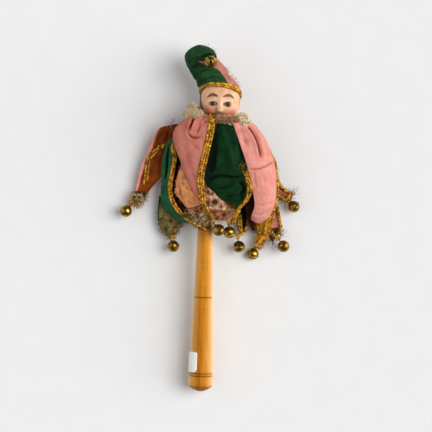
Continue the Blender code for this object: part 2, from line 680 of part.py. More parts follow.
def settle(root):
    """Lays the toy on its back, with the origin under the middle of its box."""
    root.rotation_euler.x = LIE_PITCH - math.pi / 2
    bpy.context.view_layer.update()
    graph = bpy.context.evaluated_depsgraph_get()
    spots = []
    for piece in bpy.context.scene.objects:
        if piece.type in {"MESH", "CURVE"} and not piece.hide_render:
            shown = piece.evaluated_get(graph)
            mesh = shown.to_mesh()
            spots += [shown.matrix_world @ vertex.co for vertex in mesh.vertices]
            shown.to_mesh_clear()
    low = [min(spot[axis] for spot in spots) for axis in range(3)]
    high = [max(spot[axis] for spot in spots) for axis in range(3)]
    root.location = (-(low[0] + high[0]) / 2, -(low[1] + high[1]) / 2, -low[2])


settle(toy)
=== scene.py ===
"""Looks of the marotte rattle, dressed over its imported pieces.

Lengths are in metres and +Z is up. The toy lies on its back, head towards +Y and face up. A spot is
(right, down, height): a place in the 432 x 432 picture, in pixels, and a height over the floor, in
millimetres.
"""

import json
import math
from collections import namedtuple

import bmesh
import bpy
import numpy as np
from mathutils import Matrix, Vector, noise


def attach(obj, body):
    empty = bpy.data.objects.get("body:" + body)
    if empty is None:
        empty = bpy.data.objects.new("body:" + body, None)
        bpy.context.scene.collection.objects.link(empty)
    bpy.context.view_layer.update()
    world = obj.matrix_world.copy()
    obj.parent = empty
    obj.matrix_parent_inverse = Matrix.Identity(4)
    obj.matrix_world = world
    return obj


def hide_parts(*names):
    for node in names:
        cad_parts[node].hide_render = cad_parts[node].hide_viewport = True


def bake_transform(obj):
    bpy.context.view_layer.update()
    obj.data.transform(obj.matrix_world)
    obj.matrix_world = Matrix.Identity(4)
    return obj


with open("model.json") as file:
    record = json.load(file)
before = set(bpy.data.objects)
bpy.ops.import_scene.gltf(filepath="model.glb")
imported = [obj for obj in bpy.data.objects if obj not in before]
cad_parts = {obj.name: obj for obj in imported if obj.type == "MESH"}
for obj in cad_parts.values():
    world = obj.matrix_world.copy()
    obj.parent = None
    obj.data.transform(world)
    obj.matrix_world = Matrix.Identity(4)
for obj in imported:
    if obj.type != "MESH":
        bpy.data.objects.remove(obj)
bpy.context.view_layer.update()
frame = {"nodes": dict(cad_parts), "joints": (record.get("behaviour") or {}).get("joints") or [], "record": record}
JOINTS = {joint["name"]: joint for joint in frame["joints"]}
MM = 0.001

# Picture: seen from straight above
PICTURE = 432
PIXEL = 0.00095
VIEW_MIDDLE = Vector((0.0060, 0.0026, 0.0250))
VIEW_ROLL = math.radians(1.77)
VIEW_HEIGHT = 3.0
TURN_COS, TURN_SIN = math.cos(VIEW_ROLL), math.sin(VIEW_ROLL)

# Carried over from the solids
TORSO_BASE = 0.17894
TORSO_LEAN = math.radians(5.8)
TORSO_HEIGHT = 0.0740
HEAD_HEIGHT = 0.1010
HEAD_TILT = math.radians(-5.0)
HEAD_HALVES = (18.6, 18.8, 24.0)
JAW_NARROWING = 0.05
NECK_R = 0.0082
EYE_R = 4.6
EYE_SIDE = 6.8
FACE_SHIFT = 0.6
EYE_DROP = 5.0
BRIM_RISE = 0.0032
BRIM_BACK = 0.0009
BRIM_TILT = math.radians(25.0)
BRIM_SLANT = math.radians(5.0)
BRIM_R = 0.0194
BUTT_R = 0.0117
BUTT_TIP_R = 0.0022
BUTT_CONE = 0.0055
STICK_TOP_R = 0.0063
STICK_LENGTH = 0.1780
TENON = 0.018
TENON_R = 0.0040
GROOVES = (0.0150, 0.0174, 0.0900)
GROOVE_DEPTH = 0.0006
GROOVE_HALF = 0.0007
BELL_R = 5.7
BELL_CENTRE = 7.45
PLACES = ("front", "front_left", "left", "back_left", "back", "back_right", "right", "front_right")

BUTT = frame["record"]["mounts"][0]
STICK_WAY = -Vector(BUTT["axis"])
LIE = math.atan2(STICK_WAY.z, STICK_WAY.y) - math.pi / 2
TOY = Matrix.Translation(BUTT["pos_m"]) @ Matrix.Rotation(LIE, 4, "X")
TORSO = TOY @ Matrix.Translation((0.0, 0.0, TORSO_BASE)) @ Matrix.Rotation(TORSO_LEAN, 4, "Y")
HEAD = TORSO @ Matrix.Translation((0.0, 0.0, HEAD_HEIGHT)) @ Matrix.Rotation(HEAD_TILT, 4, "Y")
ON_HEAD = (Matrix.Translation((0.0, BRIM_BACK, BRIM_RISE)) @ Matrix.Rotation(BRIM_SLANT, 4, "Y")
           @ Matrix.Rotation(-BRIM_TILT, 4, "X"))
BRIM = HEAD @ ON_HEAD


# Places and lines

LINE_STEPS = 24
CREASE_POINTS = 24
TRIM_POINTS = 24
# How deep cloth must be pressed in to be painted near full shade
FOLD_DEPTH = 0.0013


def seen(right, down, height):
    """The place of a spot of the picture, at a height over the floor."""
    nearer = 1.0 - (height * MM - VIEW_MIDDLE.z) / VIEW_HEIGHT
    across = (right - PICTURE / 2) * PIXEL * nearer
    up = (PICTURE / 2 - down) * PIXEL * nearer
    return Vector((VIEW_MIDDLE.x + across * TURN_COS - up * TURN_SIN,
                   VIEW_MIDDLE.y + across * TURN_SIN + up * TURN_COS, height * MM))


def picture_of(points):
    """Where points show in the picture, in pixels."""
    x, y, z = np.moveaxis(points - np.array(VIEW_MIDDLE), -1, 0)
    scale = PIXEL * (1.0 - z / VIEW_HEIGHT)
    right = PICTURE / 2 + (x * TURN_COS + y * TURN_SIN) / scale
    down = PICTURE / 2 - (y * TURN_COS - x * TURN_SIN) / scale
    return right, down


def line_through(points, count):
    """Evenly spaced points on a smooth line through the given ones."""
    given = np.array([tuple(point) for point in points], float)
    ends = np.vstack([2 * given[0] - given[1], given, 2 * given[-1] - given[-2]])
    t = np.linspace(0.0, 1.0, LINE_STEPS, endpoint=False)[:, None]
    parts = []
    for a, b, c, d in zip(ends, ends[1:], ends[2:], ends[3:]):
        parts.append(0.5 * (2 * b + (c - a) * t + (2 * a - 5 * b + 4 * c - d) * t ** 2
                            + (3 * b - a - 3 * c + d) * t ** 3))
    fine = np.vstack([*parts, given[-1:]])
    return spaced(fine, count)


def spaced(line, count):
    """The line's points again, evenly spaced."""
    lengths = np.concatenate([[0.0], np.cumsum(np.linalg.norm(np.diff(line, axis=0), axis=1))])
    want = np.linspace(0.0, lengths[-1], count)
    return np.stack([np.interp(want, lengths, line[:, k]) for k in range(line.shape[1])], axis=1)


def length_of(line):
    return float(np.linalg.norm(np.diff(line, axis=0), axis=1).sum())


def run_along(rows, axis):
    """How far along the lines of a sheet's grid each of its points lies."""
    steps = np.linalg.norm(np.diff(rows, axis=axis, prepend=np.take(rows, [0], axis)), axis=2)
    return np.cumsum(steps, axis=axis)


def full_turn(count):
    """Evenly spaced angles round a full turn."""
    return np.linspace(0.0, 2 * math.pi, count, endpoint=False)


def along_knots(knots, count):
    """Values eased between evenly spaced knots."""
    return line_through([(i / (len(knots) - 1), knot) for i, knot in enumerate(knots)], count)[:, 1]


def moved(matrix, points):
    turn = np.array(matrix.to_3x3())
    return np.asarray(points, float) @ turn.T + np.array(matrix.translation)


def unit(vectors):
    return vectors / np.maximum(np.linalg.norm(vectors, axis=-1, keepdims=True), 1e-12)


def ramp(values):
    """Values held between 0 and 1."""
    return np.clip(values, 0.0, 1.0)


def near(away):
    """A soft peak: 1 at 0, and close to 0 from 2 away."""
    return np.exp(-away ** 2)


def hump(x, y, middle_x, middle_y, wide_x, wide_y):
    """A soft round hump, 1 at its middle."""
    return np.exp(-((x - middle_x) / wide_x) ** 2 - ((y - middle_y) / wide_y) ** 2)


def rough(points, size, seed):
    """Smooth random values, about -1 to 1, that change over `size`."""
    shift = Vector((seed * 3.7, seed * 1.3, seed * 2.1))
    flat = points.reshape(-1, 3)
    values = [noise.noise(Vector(point) / size + shift) for point in flat]
    return np.array(values).reshape(points.shape[:-1])


def within(right, down, outline):
    """Whether places in the picture lie inside an outline."""
    inside = np.zeros(np.shape(right), bool)
    for (x0, y0), (x1, y1) in zip(outline, outline[1:] + outline[:1]):
        if y0 != y1:
            inside ^= ((y0 > down) != (y1 > down)) & (right < (x1 - x0) * (down - y0) / (y1 - y0) + x0)
    return inside


def creased(points, creases):
    """How far creases press a sheet in at its points.

    A crease is a line in the picture, and its depth and breadth in millimetres.
    """
    right, down = picture_of(points)
    spot = np.stack([right, down], axis=-1) * PIXEL
    press = np.zeros(right.shape)
    for line, deep, broad in creases:
        ends = line_through(line, CREASE_POINTS) * PIXEL
        far = np.full(right.shape, np.inf)
        place = np.zeros(right.shape)
        for i, (a, b) in enumerate(zip(ends, ends[1:])):
            share = ramp(((spot - a) @ (b - a)) / ((b - a) @ (b - a)))
            away = np.linalg.norm(spot - a - share[..., None] * (b - a), axis=-1)
            place = np.where(away < far, (i + share) / (CREASE_POINTS - 1), place)
            far = np.minimum(far, away)
        far /= broad * MM
        taper = np.sqrt(np.sin(math.pi * np.clip(place, 0.03, 0.97)))
        press += deep * MM * taper * (0.45 * near((far - 2.2) / 1.3) - near(far))
    return press


# Meshes


def shown(name, data, body):
    piece = bpy.data.objects.new(name, data)
    bpy.context.scene.collection.objects.link(piece)
    if body:
        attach(piece, body)
    return piece


def set_layer(layer, key, values):
    layer.data.foreach_set(key, np.asarray(values, float).ravel())


def build(name, points, faces, looks, body, uv=None, tint=None, which=None, fold=None, outward=False):
    """A smooth mesh piece.

    It can have metric UVs, a tint, a share of painted shade and dark worn holes at each point, and a finish for
    each face.
    """
    mesh = bpy.data.meshes.new(name)
    mesh.from_pydata(np.asarray(points).reshape(-1, 3).tolist(), [], faces)
    for look in looks:
        mesh.materials.append(look)
    if which is not None:
        mesh.polygons.foreach_set("material_index", np.asarray(which, np.int32))
    if outward:
        shape = bmesh.new()
        shape.from_mesh(mesh)
        bmesh.ops.recalc_face_normals(shape, faces=shape.faces)
        shape.to_mesh(mesh)
        shape.free()
    if uv is not None:
        corners = np.zeros(len(mesh.loops), np.int32)
        mesh.loops.foreach_get("vertex_index", corners)
        set_layer(mesh.uv_layers.new(name="weave"), "uv", np.asarray(uv).reshape(-1, 2)[corners])
    if tint is not None:
        flat = np.asarray(tint).reshape(-1, 3)
        set_layer(mesh.color_attributes.new("tint", "FLOAT_COLOR", "POINT"), "color",
                  np.hstack([flat, np.ones((len(flat), 1))]))
    if fold is not None:
        set_layer(mesh.attributes.new("fold", "FLOAT", "POINT"), "value", fold)
    mesh.shade_smooth()
    return shown(name, mesh, body)


def grid_faces(rows, columns, closed=False, start=0):
    faces = []
    for i in range(rows - 1):
        for j in range(columns if closed else columns - 1):
            k = (j + 1) % columns
            low, high = start + i * columns, start + (i + 1) * columns
            faces.append((low + j, high + j, high + k, low + k))
    return faces


def ringed(name, rows, look, **more):
    """A piece of closed rings of points."""
    return build(name, rows, grid_faces(*rows.shape[:2], True), [look], "root", outward=True, **more)


def turned_points(profile, steps):
    """Rows of points round Z for a profile of (radius, height)."""
    angles = full_turn(steps)
    profile = np.asarray(profile, float)
    return np.stack([profile[:, :1] * np.cos(angles), profile[:, :1] * np.sin(angles),
                     np.repeat(profile[:, 1:], steps, axis=1)], axis=2)


def face_normals(rows):
    """The outward direction at each point of a sheet's grid."""
    return unit(np.cross(np.gradient(rows, axis=0), np.gradient(rows, axis=1)))


def cloth(name, rows, looks, body, thick, which=None, fold=None):
    """A sheet of cloth: an outer face, a lining and a rim.

    `which` gives the finish of the outer face and of the lining, at places across and along the sheet.
    """
    down, across = rows.shape[:2]
    lining = rows - face_normals(rows) * thick
    count = down * across
    faces = grid_faces(down, across) + grid_faces(down, across, start=count)
    grid = np.arange(count).reshape(down, across)
    rim = np.concatenate([grid[0], grid[1:, -1], grid[-1, -2::-1], grid[-2:0:-1, 0]])
    for a, b in zip(rim, np.roll(rim, -1)):
        faces.append((int(a), int(b), int(b) + count, int(a) + count))
    wide = run_along(rows, 1)
    wide -= wide.mean(axis=1, keepdims=True)
    long = run_along(rows, 0)
    long[:] = long.mean(axis=1, keepdims=True)
    uv = np.stack([wide, long], axis=2)
    quads = (down - 1) * (across - 1)
    finish = np.concatenate([np.zeros(quads), np.ones(quads), np.zeros(len(rim))])
    if which is not None:
        u, v = np.meshgrid(np.linspace(-1, 1, across - 1), np.linspace(0, 1, down - 1))
        outer, inner = which(u, v)
        finish[:quads] = outer.ravel()
        finish[quads:2 * quads] = inner.ravel()
    return build(name, np.vstack([rows.reshape(-1, 3), lining.reshape(-1, 3)]), faces, looks, body,
                 uv=np.vstack([uv.reshape(-1, 2), uv.reshape(-1, 2)]), which=finish, outward=True,
                 fold=None if fold is None else np.concatenate([fold.ravel(), fold.ravel()]))


# Finishes


def colour(red, green, blue):
    """A screen colour, 0 to 255, as light."""
    return tuple((c / 255 / 12.92) if c <= 10 else ((c / 255 + 0.055) / 1.055) ** 2.4
                 for c in (red, green, blue))


class Nodes:
    """A node tree and the calls that build it."""

    def __init__(self, tree):
        self.tree = tree

    def node(self, kind, inputs, output=0, **settings):
        """An output of a new node, whose inputs are set or linked."""
        made = self.tree.nodes.new(kind)
        for key, value in settings.items():
            setattr(made, key, value)
        for key, value in inputs.items():
            for item in value if isinstance(value, list) else [value]:
                if isinstance(item, bpy.types.NodeSocket):
                    self.tree.links.new(item, made.inputs[key])
                else:
                    made.inputs[key].default_value = item
        return made.outputs[output]

    def sums(self, operation, a, b=0.0):
        return self.node("ShaderNodeMath", {0: a, 1: b}, operation=operation)


class Finish(Nodes):
    """A procedural material."""

    def __init__(self, name, roughness=0.6, metallic=0.0, sheen=0.0, specular=0.5):
        self.look = bpy.data.materials.new(name)
        self.look.use_nodes = True
        super().__init__(self.look.node_tree)
        self.shader = self.tree.nodes["Principled BSDF"]
        self.shader.inputs["Roughness"].default_value = roughness
        self.shader.inputs["Metallic"].default_value = metallic
        self.shader.inputs["Sheen Weight"].default_value = sheen
        self.shader.inputs["Specular IOR Level"].default_value = specular

    def place(self, kind="Object", scale=(1.0, 1.0, 1.0), turn=(0.0, 0.0, 0.0)):
        where = self.node("ShaderNodeTexCoord", {}, kind)
        return self.node("ShaderNodeMapping", {"Vector": where, "Scale": scale, "Rotation": turn})

    def noise(self, where, scale, detail=3.0, rough=0.55, twist=0.0):
        return self.node("ShaderNodeTexNoise", {"Vector": where, "Scale": scale, "Detail": detail,
                                                "Roughness": rough, "Distortion": twist})

    def between(self, value, low, high, to_low=0.0, to_high=1.0):
        return self.node("ShaderNodeMapRange", {"Value": value, "From Min": low, "From Max": high,
                                                "To Min": to_low, "To Max": to_high})

    def mix(self, share, a, b, blend="MIX"):
        return self.node("ShaderNodeMix", {0: share, 6: (*a, 1.0) if isinstance(a, tuple) else a,
                                           7: (*b, 1.0) if isinstance(b, tuple) else b}, 2,
                         data_type="RGBA", blend_type=blend)

    def given(self, name, kind="Fac"):
        """An attribute of the mesh."""
        return self.node("ShaderNodeAttribute", {}, kind, attribute_name=name)

    def done(self, base, height=None, depth=0.0, roughness=None):
        self.tree.links.new(base, self.shader.inputs["Base Color"])
        if height is not None:
            bump = self.node("ShaderNodeBump", {"Height": height, "Distance": depth, "Strength": 1.0})
            self.tree.links.new(bump, self.shader.inputs["Normal"])
        if roughness is not None:
            self.tree.links.new(roughness, self.shader.inputs["Roughness"])
        return self.look


# A cloth thread's width, and the length of a wave texture's band at a scale of 1
WEAVE = 0.00045
WAVE_BAND = 0.31


def woven(name, faded_tone, mid, deep, painted_shade, worn=None):
    """Cloth with a plain weave along its own UVs, faded in patches, with painted shade in its folds."""
    made = Finish(name, roughness=0.9, sheen=0.04, specular=0.08)
    faded_tone, mid, deep, painted_shade = (colour(*tone) for tone in (faded_tone, mid, deep, painted_shade))
    threads = {"Vector": made.place("UV"), "Scale": WAVE_BAND / WEAVE / 2, "Distortion": 0.6, "Detail": 1.0}
    spot = made.place()
    warp, weft = (made.node("ShaderNodeTexWave", threads, 1, bands_direction=way) for way in "XY")
    weave = made.sums("MAXIMUM", warp, weft)
    patches = made.noise(spot, 90.0, 5.0, 0.6)
    streaks = made.noise(made.place("UV", (900.0, 160.0, 1.0)), 1.0, 3.0)
    base = made.mix(made.between(patches, 0.36, 0.64), mid, faded_tone)
    base = made.mix(made.between(streaks, 0.45, 0.8, 0.0, 0.45), base, deep)
    base = made.mix(made.between(weave, 0.1, 0.55, 0.35, 0.0), base, deep)
    if worn:
        spots = made.noise(spot, 260.0, 4.0, 0.7)
        base = made.mix(made.between(spots, 0.60, 0.72, 0.0, 0.6), base, colour(*worn))
    # Painted shade where the mesh marks it: in folds, creases, hollows and under the neck
    base = made.mix(made.given("fold"), base, painted_shade)
    height = made.sums("ADD", weave, made.sums("MULTIPLY", patches, 1.6))
    return made.done(base, height, depth=0.00016)


GREEN = woven("green_cloth", (52, 118, 74), (28, 84, 50), (10, 40, 22), (3, 16, 6), (76, 136, 92))
CAP_GREEN = woven("cap_green_cloth", (46, 90, 48), (22, 60, 32), (7, 28, 13), (2, 12, 5), (72, 112, 58))
# Painted shade: copies of the green cloth as it looks in shadow, darkest for the back petal's lining
DARK_SHADED_GREEN = woven("night_green_cloth", (10, 42, 18), (5, 27, 10), (2, 11, 4), (1, 5, 2))
SHADED_GREEN = woven("deep_green_cloth", (15, 60, 27), (5, 35, 14), (2, 13, 5), (1, 5, 2))
PINK = woven("pink_cloth", (236, 162, 148), (222, 144, 128), (182, 98, 84), (126, 30, 26), (230, 154, 122))
SHADED_PINK = woven("shaded_pink_cloth", (220, 140, 122), (206, 122, 104), (164, 78, 62), (118, 20, 22),
                    (218, 140, 98))
PEACH = woven("peach_lining", (242, 172, 116), (226, 144, 86), (188, 104, 54), (120, 50, 16))
# Painted shade: the peach lining as it looks in shadow
SHADED_LINING = woven("shaded_lining", (156, 74, 24), (116, 48, 12), (64, 22, 3), (36, 12, 2))
# Painted shadow: near-black cloth for sheets that fill shadowed gaps between the petals
SHADOW_FILLER = woven("dark_lining", (70, 28, 9), (48, 17, 5), (24, 8, 2), (12, 4, 1))
CAP_PINK = woven("cap_pink_cloth", (212, 146, 130), (184, 114, 100), (134, 62, 50), (104, 22, 18))


def braid_finish(name="gold_braid", dark=(104, 58, 0), mid=(206, 141, 4), glints=(255, 216, 66)):
    made = Finish(name, roughness=0.42, metallic=0.35)
    spot = made.place()
    age = made.noise(spot, 300.0, 4.0, 0.65)
    glint = made.noise(spot, 520.0, 2.0)
    base = made.mix(made.between(age, 0.42, 0.56), colour(*dark), colour(*mid))
    base = made.mix(made.between(glint, 0.58, 0.66), base, colour(*glints))
    return made.done(base, glint, depth=0.0003, roughness=made.between(age, 0.3, 0.7, 0.6, 0.32))


def worn_lace_finish(name, pale, stained, hole, cell, metallic=0.0, wear=0.60):
    """Lace of fine cells, stained in patches, with ragged dark holes."""
    made = Finish(name, roughness=0.7, metallic=metallic, specular=0.2)
    pale, stained, hole = (colour(*tone) for tone in (pale, stained, hole))
    spot = made.place()
    stain = made.noise(spot, 230.0, 4.0, 0.65)
    cells = made.node("ShaderNodeTexVoronoi", {"Vector": spot, "Scale": cell}, feature="DISTANCE_TO_EDGE")
    ragged = made.noise(spot, 480.0, 3.0, 0.65, 1.2)
    base = made.mix(made.between(stain, 0.42, 0.60), pale, stained)
    base = made.mix(made.between(cells, 0.14, 0.34, 0.0, 0.6), base, stained)
    base = made.mix(made.between(ragged, wear - 0.06, wear + 0.06, 0.0, 0.85), base, hole)
    # Painted shade in the hollows of lumps, and dark worn holes
    base = made.mix(made.given("fold"), base, hole)
    return made.done(base, made.sums("MULTIPLY", cells, -1.0), depth=0.0009)


def brass_finish():
    made = Finish("bell_brass", roughness=0.28, metallic=1.0)
    spot = made.place()
    tarnish = made.noise(spot, 240.0, 4.0, 0.6)
    specks = made.noise(spot, 1500.0, 2.0)
    base = made.mix(made.between(tarnish, 0.36, 0.62), colour(186, 148, 60), colour(96, 70, 22))
    base = made.mix(made.between(specks, 0.62, 0.74, 0.0, 0.7), base, colour(60, 44, 14))
    return made.done(base, specks, depth=0.00006, roughness=made.between(tarnish, 0.35, 0.65, 0.14, 0.36))


def wood_finish(name, pale, mid, dark, rubbed, grooves=True):
    """Polished wood with long grain and lathe rings, painted paler where its rubbed attribute is high: a painted
    sheen.
    """
    made = Finish(name, roughness=0.55, specular=0.15)
    pale, mid, dark, rubbed = (colour(*tone) for tone in (pale, mid, dark, rubbed))
    slope = (0.065, 0.0, 0.0)
    grain = made.noise(made.place("Object", (260.0, 16.0, 260.0), slope), 1.0, 6.0, 0.62, 0.8)
    pores = made.noise(made.place("Object", (1500.0, 60.0, 1500.0)), 1.0, 2.0)
    streaks = made.noise(made.place("Object", (110.0, 8.0, 110.0), slope), 1.0, 3.0)
    rings = made.noise(made.place("Object", (8.0, 620.0, 8.0), slope), 1.0, 2.0)
    base = made.mix(made.between(grain, 0.32, 0.68), dark, mid)
    base = made.mix(made.between(streaks, 0.40, 0.66, 0.0, 0.7), base, pale)
    base = made.mix(made.between(rings, 0.55, 0.75, 0.0, 0.35), base, dark)
    base = made.mix(made.between(pores, 0.60, 0.72, 0.0, 0.35), base, dark)
    base = made.mix(made.given("rubbed"), base, rubbed)
    if grooves:
        base = made.mix(1.0, base, made.given("tint", "Color"), "MULTIPLY")
    return made.done(base, made.sums("ADD", pores, grain), depth=0.00012,
                     roughness=made.between(grain, 0.3, 0.7, 0.62, 0.48))


def painted_finish():
    made = Finish("painted_skin", roughness=0.44, specular=0.3)
    spot = made.place()
    grime = made.noise(spot, 220.0, 5.0, 0.65)
    fine = made.noise(spot, 1300.0, 3.0)
    paint = made.given("tint", "Color")
    base = made.mix(made.between(grime, 0.45, 0.70, 0.0, 0.30), paint, colour(176, 122, 78))
    base = made.mix(made.between(fine, 0.62, 0.74, 0.0, 0.25), base, colour(150, 96, 60))
    return made.done(base, made.sums("ADD", fine, grime), depth=0.00012,
                     roughness=made.between(grime, 0.4, 0.7, 0.34, 0.55))


def eye_finish():
    made = Finish("eye_paint", roughness=0.3, specular=0.3)
    mottle = made.noise(made.place(), 1800.0, 2.0)
    paint = made.given("tint", "Color")
    base = made.mix(made.between(mottle, 0.4, 0.7, 0.0, 0.3), paint, colour(60, 46, 24))
    return made.done(base, mottle, depth=0.00002)


def thread_finish(name, pale, dark, roughness=0.8):
    made = Finish(name, roughness=roughness, specular=0.2)
    vary = made.noise(made.place(), 500.0, 2.0)
    base = made.mix(made.between(vary, 0.35, 0.65), colour(*pale), colour(*dark))
    return made.done(base, vary, depth=0.00005)


def lace_finish():
    made = Finish("cream_lace", roughness=0.8, sheen=0.2, specular=0.2)
    spot = made.place()
    stain = made.noise(spot, 150.0, 4.0, 0.6)
    fine = made.noise(spot, 1400.0, 2.0)
    base = made.mix(made.between(stain, 0.38, 0.68), colour(252, 240, 208), colour(222, 198, 150))
    base = made.mix(made.between(fine, 0.55, 0.72, 0.0, 0.5), base, colour(150, 118, 74))
    # Painted shade between the ribs of the ruff's rolls
    base = made.mix(made.given("fold"), base, colour(120, 86, 48))
    return made.done(base, fine, depth=0.0003)


def paper_finish():
    made = Finish("label_paper", roughness=0.8, specular=0.15)
    spot = made.place()
    fibre = made.noise(spot, 2200.0, 3.0)
    age = made.noise(spot, 120.0, 3.0)
    base = made.mix(made.between(age, 0.4, 0.7, 0.0, 0.5), colour(255, 255, 250), colour(244, 242, 230))
    return made.done(base, fibre, depth=0.00005)


GOLD = braid_finish()
OLD_GOLD = braid_finish("tarnished_gold", (70, 44, 10), (140, 96, 28), (230, 184, 90))
OLIVE_LACE = worn_lace_finish("olive_metal_lace", (192, 172, 112), (112, 92, 48), (30, 24, 8), 560.0, 0.2)
GOLD_LACE = worn_lace_finish("gold_metal_lace", (255, 200, 70), (214, 128, 22), (98, 48, 6), 560.0, 0.3)
CREAM_LACE = worn_lace_finish("cream_scrap_lace", (234, 188, 144), (150, 88, 48), (56, 24, 10), 420.0,
                              wear=0.65)
BROWN_LACE = worn_lace_finish("brown_scrap_lace", (186, 118, 76), (120, 54, 20), (44, 16, 4), 420.0,
                              wear=0.64)
MIXED_LACE = worn_lace_finish("mixed_scrap_lace", (206, 178, 126), (118, 76, 30), (26, 16, 6), 380.0,
                              wear=0.49)
DARK_LACE = worn_lace_finish("dark_scrap_lace", (116, 74, 40), (64, 36, 14), (28, 14, 6), 500.0)
BRASS = brass_finish()
STICK_WOOD = wood_finish("stick_wood", (224, 154, 38), (203, 126, 4), (160, 88, 0), (252, 206, 140))
CORE_WOOD = wood_finish("core_wood", (120, 66, 30), (92, 44, 16), (54, 22, 8), (130, 80, 40), False)
SKIN = painted_finish()
EYE = eye_finish()
LACE = lace_finish()
PAPER = paper_finish()
PALE_THREAD = thread_finish("frayed_pale_thread", (226, 176, 150), (180, 120, 92))
DARK_THREAD = thread_finish("frayed_dark_thread", (94, 76, 52), (42, 34, 28))
TAN_THREAD = thread_finish("tan_thread", (206, 164, 120), (132, 80, 46))
BROWN_THREAD = thread_finish("brown_thread", (188, 146, 92), (108, 64, 28))
CREAM_THREAD = thread_finish("cream_thread", (240, 228, 196), (196, 172, 126))
OLIVE_THREAD = thread_finish("olive_thread", (146, 132, 84), (66, 56, 26))
LILAC_THREAD = thread_finish("lilac_thread", (206, 172, 186), (150, 122, 146))
IRON = thread_finish("pellet_iron", (110, 108, 104), (70, 66, 62), 0.45)


# Node trees: twisted cords, frayed threads and nets


class Tree(Nodes):
    """A geometry node tree with named sizes."""

    def __init__(self, name, sizes):
        super().__init__(bpy.data.node_groups.new(name, "GeometryNodeTree"))
        sockets = self.tree.interface
        sockets.new_socket("Geometry", in_out="INPUT", socket_type="NodeSocketGeometry")
        for size in sizes:
            sockets.new_socket(size, in_out="INPUT", socket_type="NodeSocketFloat")
        sockets.new_socket("Finish", in_out="INPUT", socket_type="NodeSocketMaterial")
        sockets.new_socket("Geometry", in_out="OUTPUT", socket_type="NodeSocketGeometry")
        self.given = self.tree.nodes.new("NodeGroupInput").outputs

    def scaled(self, vector, factor):
        return self.node("ShaderNodeVectorMath", {0: vector, "Scale": factor}, operation="SCALE")

    def ends(self, geometry):
        """Realises, smooths and finishes what was made."""
        whole = self.node("GeometryNodeRealizeInstances", {0: geometry})
        whole = self.node("GeometryNodeSetShadeSmooth", {0: whole})
        whole = self.node("GeometryNodeSetMaterial", {0: whole, "Material": self.given["Finish"]})
        self.tree.links.new(whole, self.tree.nodes.new("NodeGroupOutput").inputs[0])
        return self.tree

    def grow(self, name, points, edges, finish, body, ways=None, **sizes):
        """The plain mesh piece that the tree makes of points and edges."""
        mesh = bpy.data.meshes.new(name)
        mesh.from_pydata(np.asarray(points).reshape(-1, 3).tolist(), edges, [])
        if ways is not None:
            set_layer(mesh.attributes.new("way", "FLOAT_VECTOR", "POINT"), "vector", ways)
        source = shown(f"{name}_source", mesh, None)
        grower = source.modifiers.new("grow", "NODES")
        grower.node_group = self.tree
        for socket in self.tree.interface.items_tree:
            if socket.in_out == "INPUT" and socket.name in sizes:
                grower[socket.identifier] = sizes[socket.name]
            if socket.name == "Finish":
                grower[socket.identifier] = finish
        plain = bpy.data.meshes.new_from_object(source.evaluated_get(bpy.context.evaluated_depsgraph_get()))
        bpy.data.objects.remove(source)
        plain.name = name
        return shown(name, plain, body)


def twisted_cord_tree():
    """Three strands wound round a line."""
    tree = Tree("twisted_cord", ("Strand", "Turn", "Pitch", "Step"))
    line = tree.node("GeometryNodeMeshToCurve", {0: tree.given["Geometry"]})
    line = tree.node("GeometryNodeResampleCurve", {"Curve": line, "Length": tree.given["Step"]},
                     mode="LENGTH")
    length = tree.node("GeometryNodeSplineParameter", {}, "Length")
    normal = tree.node("GeometryNodeInputNormal", {})
    tangent = tree.node("GeometryNodeInputTangent", {})
    side = tree.node("ShaderNodeVectorMath", {0: tangent, 1: normal}, operation="CROSS_PRODUCT")
    turns = tree.sums("MULTIPLY", tree.sums("DIVIDE", length, tree.given["Pitch"]), 2 * math.pi)
    ring = tree.node("GeometryNodeCurvePrimitiveCircle", {"Resolution": 6, "Radius": tree.given["Strand"]})
    strands = []
    for i in range(3):
        angle = tree.sums("ADD", turns, 2 * math.pi * i / 3)
        out = tree.scaled(normal, tree.sums("MULTIPLY", tree.sums("COSINE", angle), tree.given["Turn"]))
        over = tree.scaled(side, tree.sums("MULTIPLY", tree.sums("SINE", angle), tree.given["Turn"]))
        shift = tree.node("ShaderNodeVectorMath", {0: out, 1: over}, operation="ADD")
        strand = tree.node("GeometryNodeSetPosition", {0: line, "Offset": shift})
        strands.append(tree.node("GeometryNodeCurveToMesh", {0: strand, 1: ring, "Fill Caps": True}))
    tree.ends(tree.node("GeometryNodeJoinGeometry", {0: strands}))
    return tree


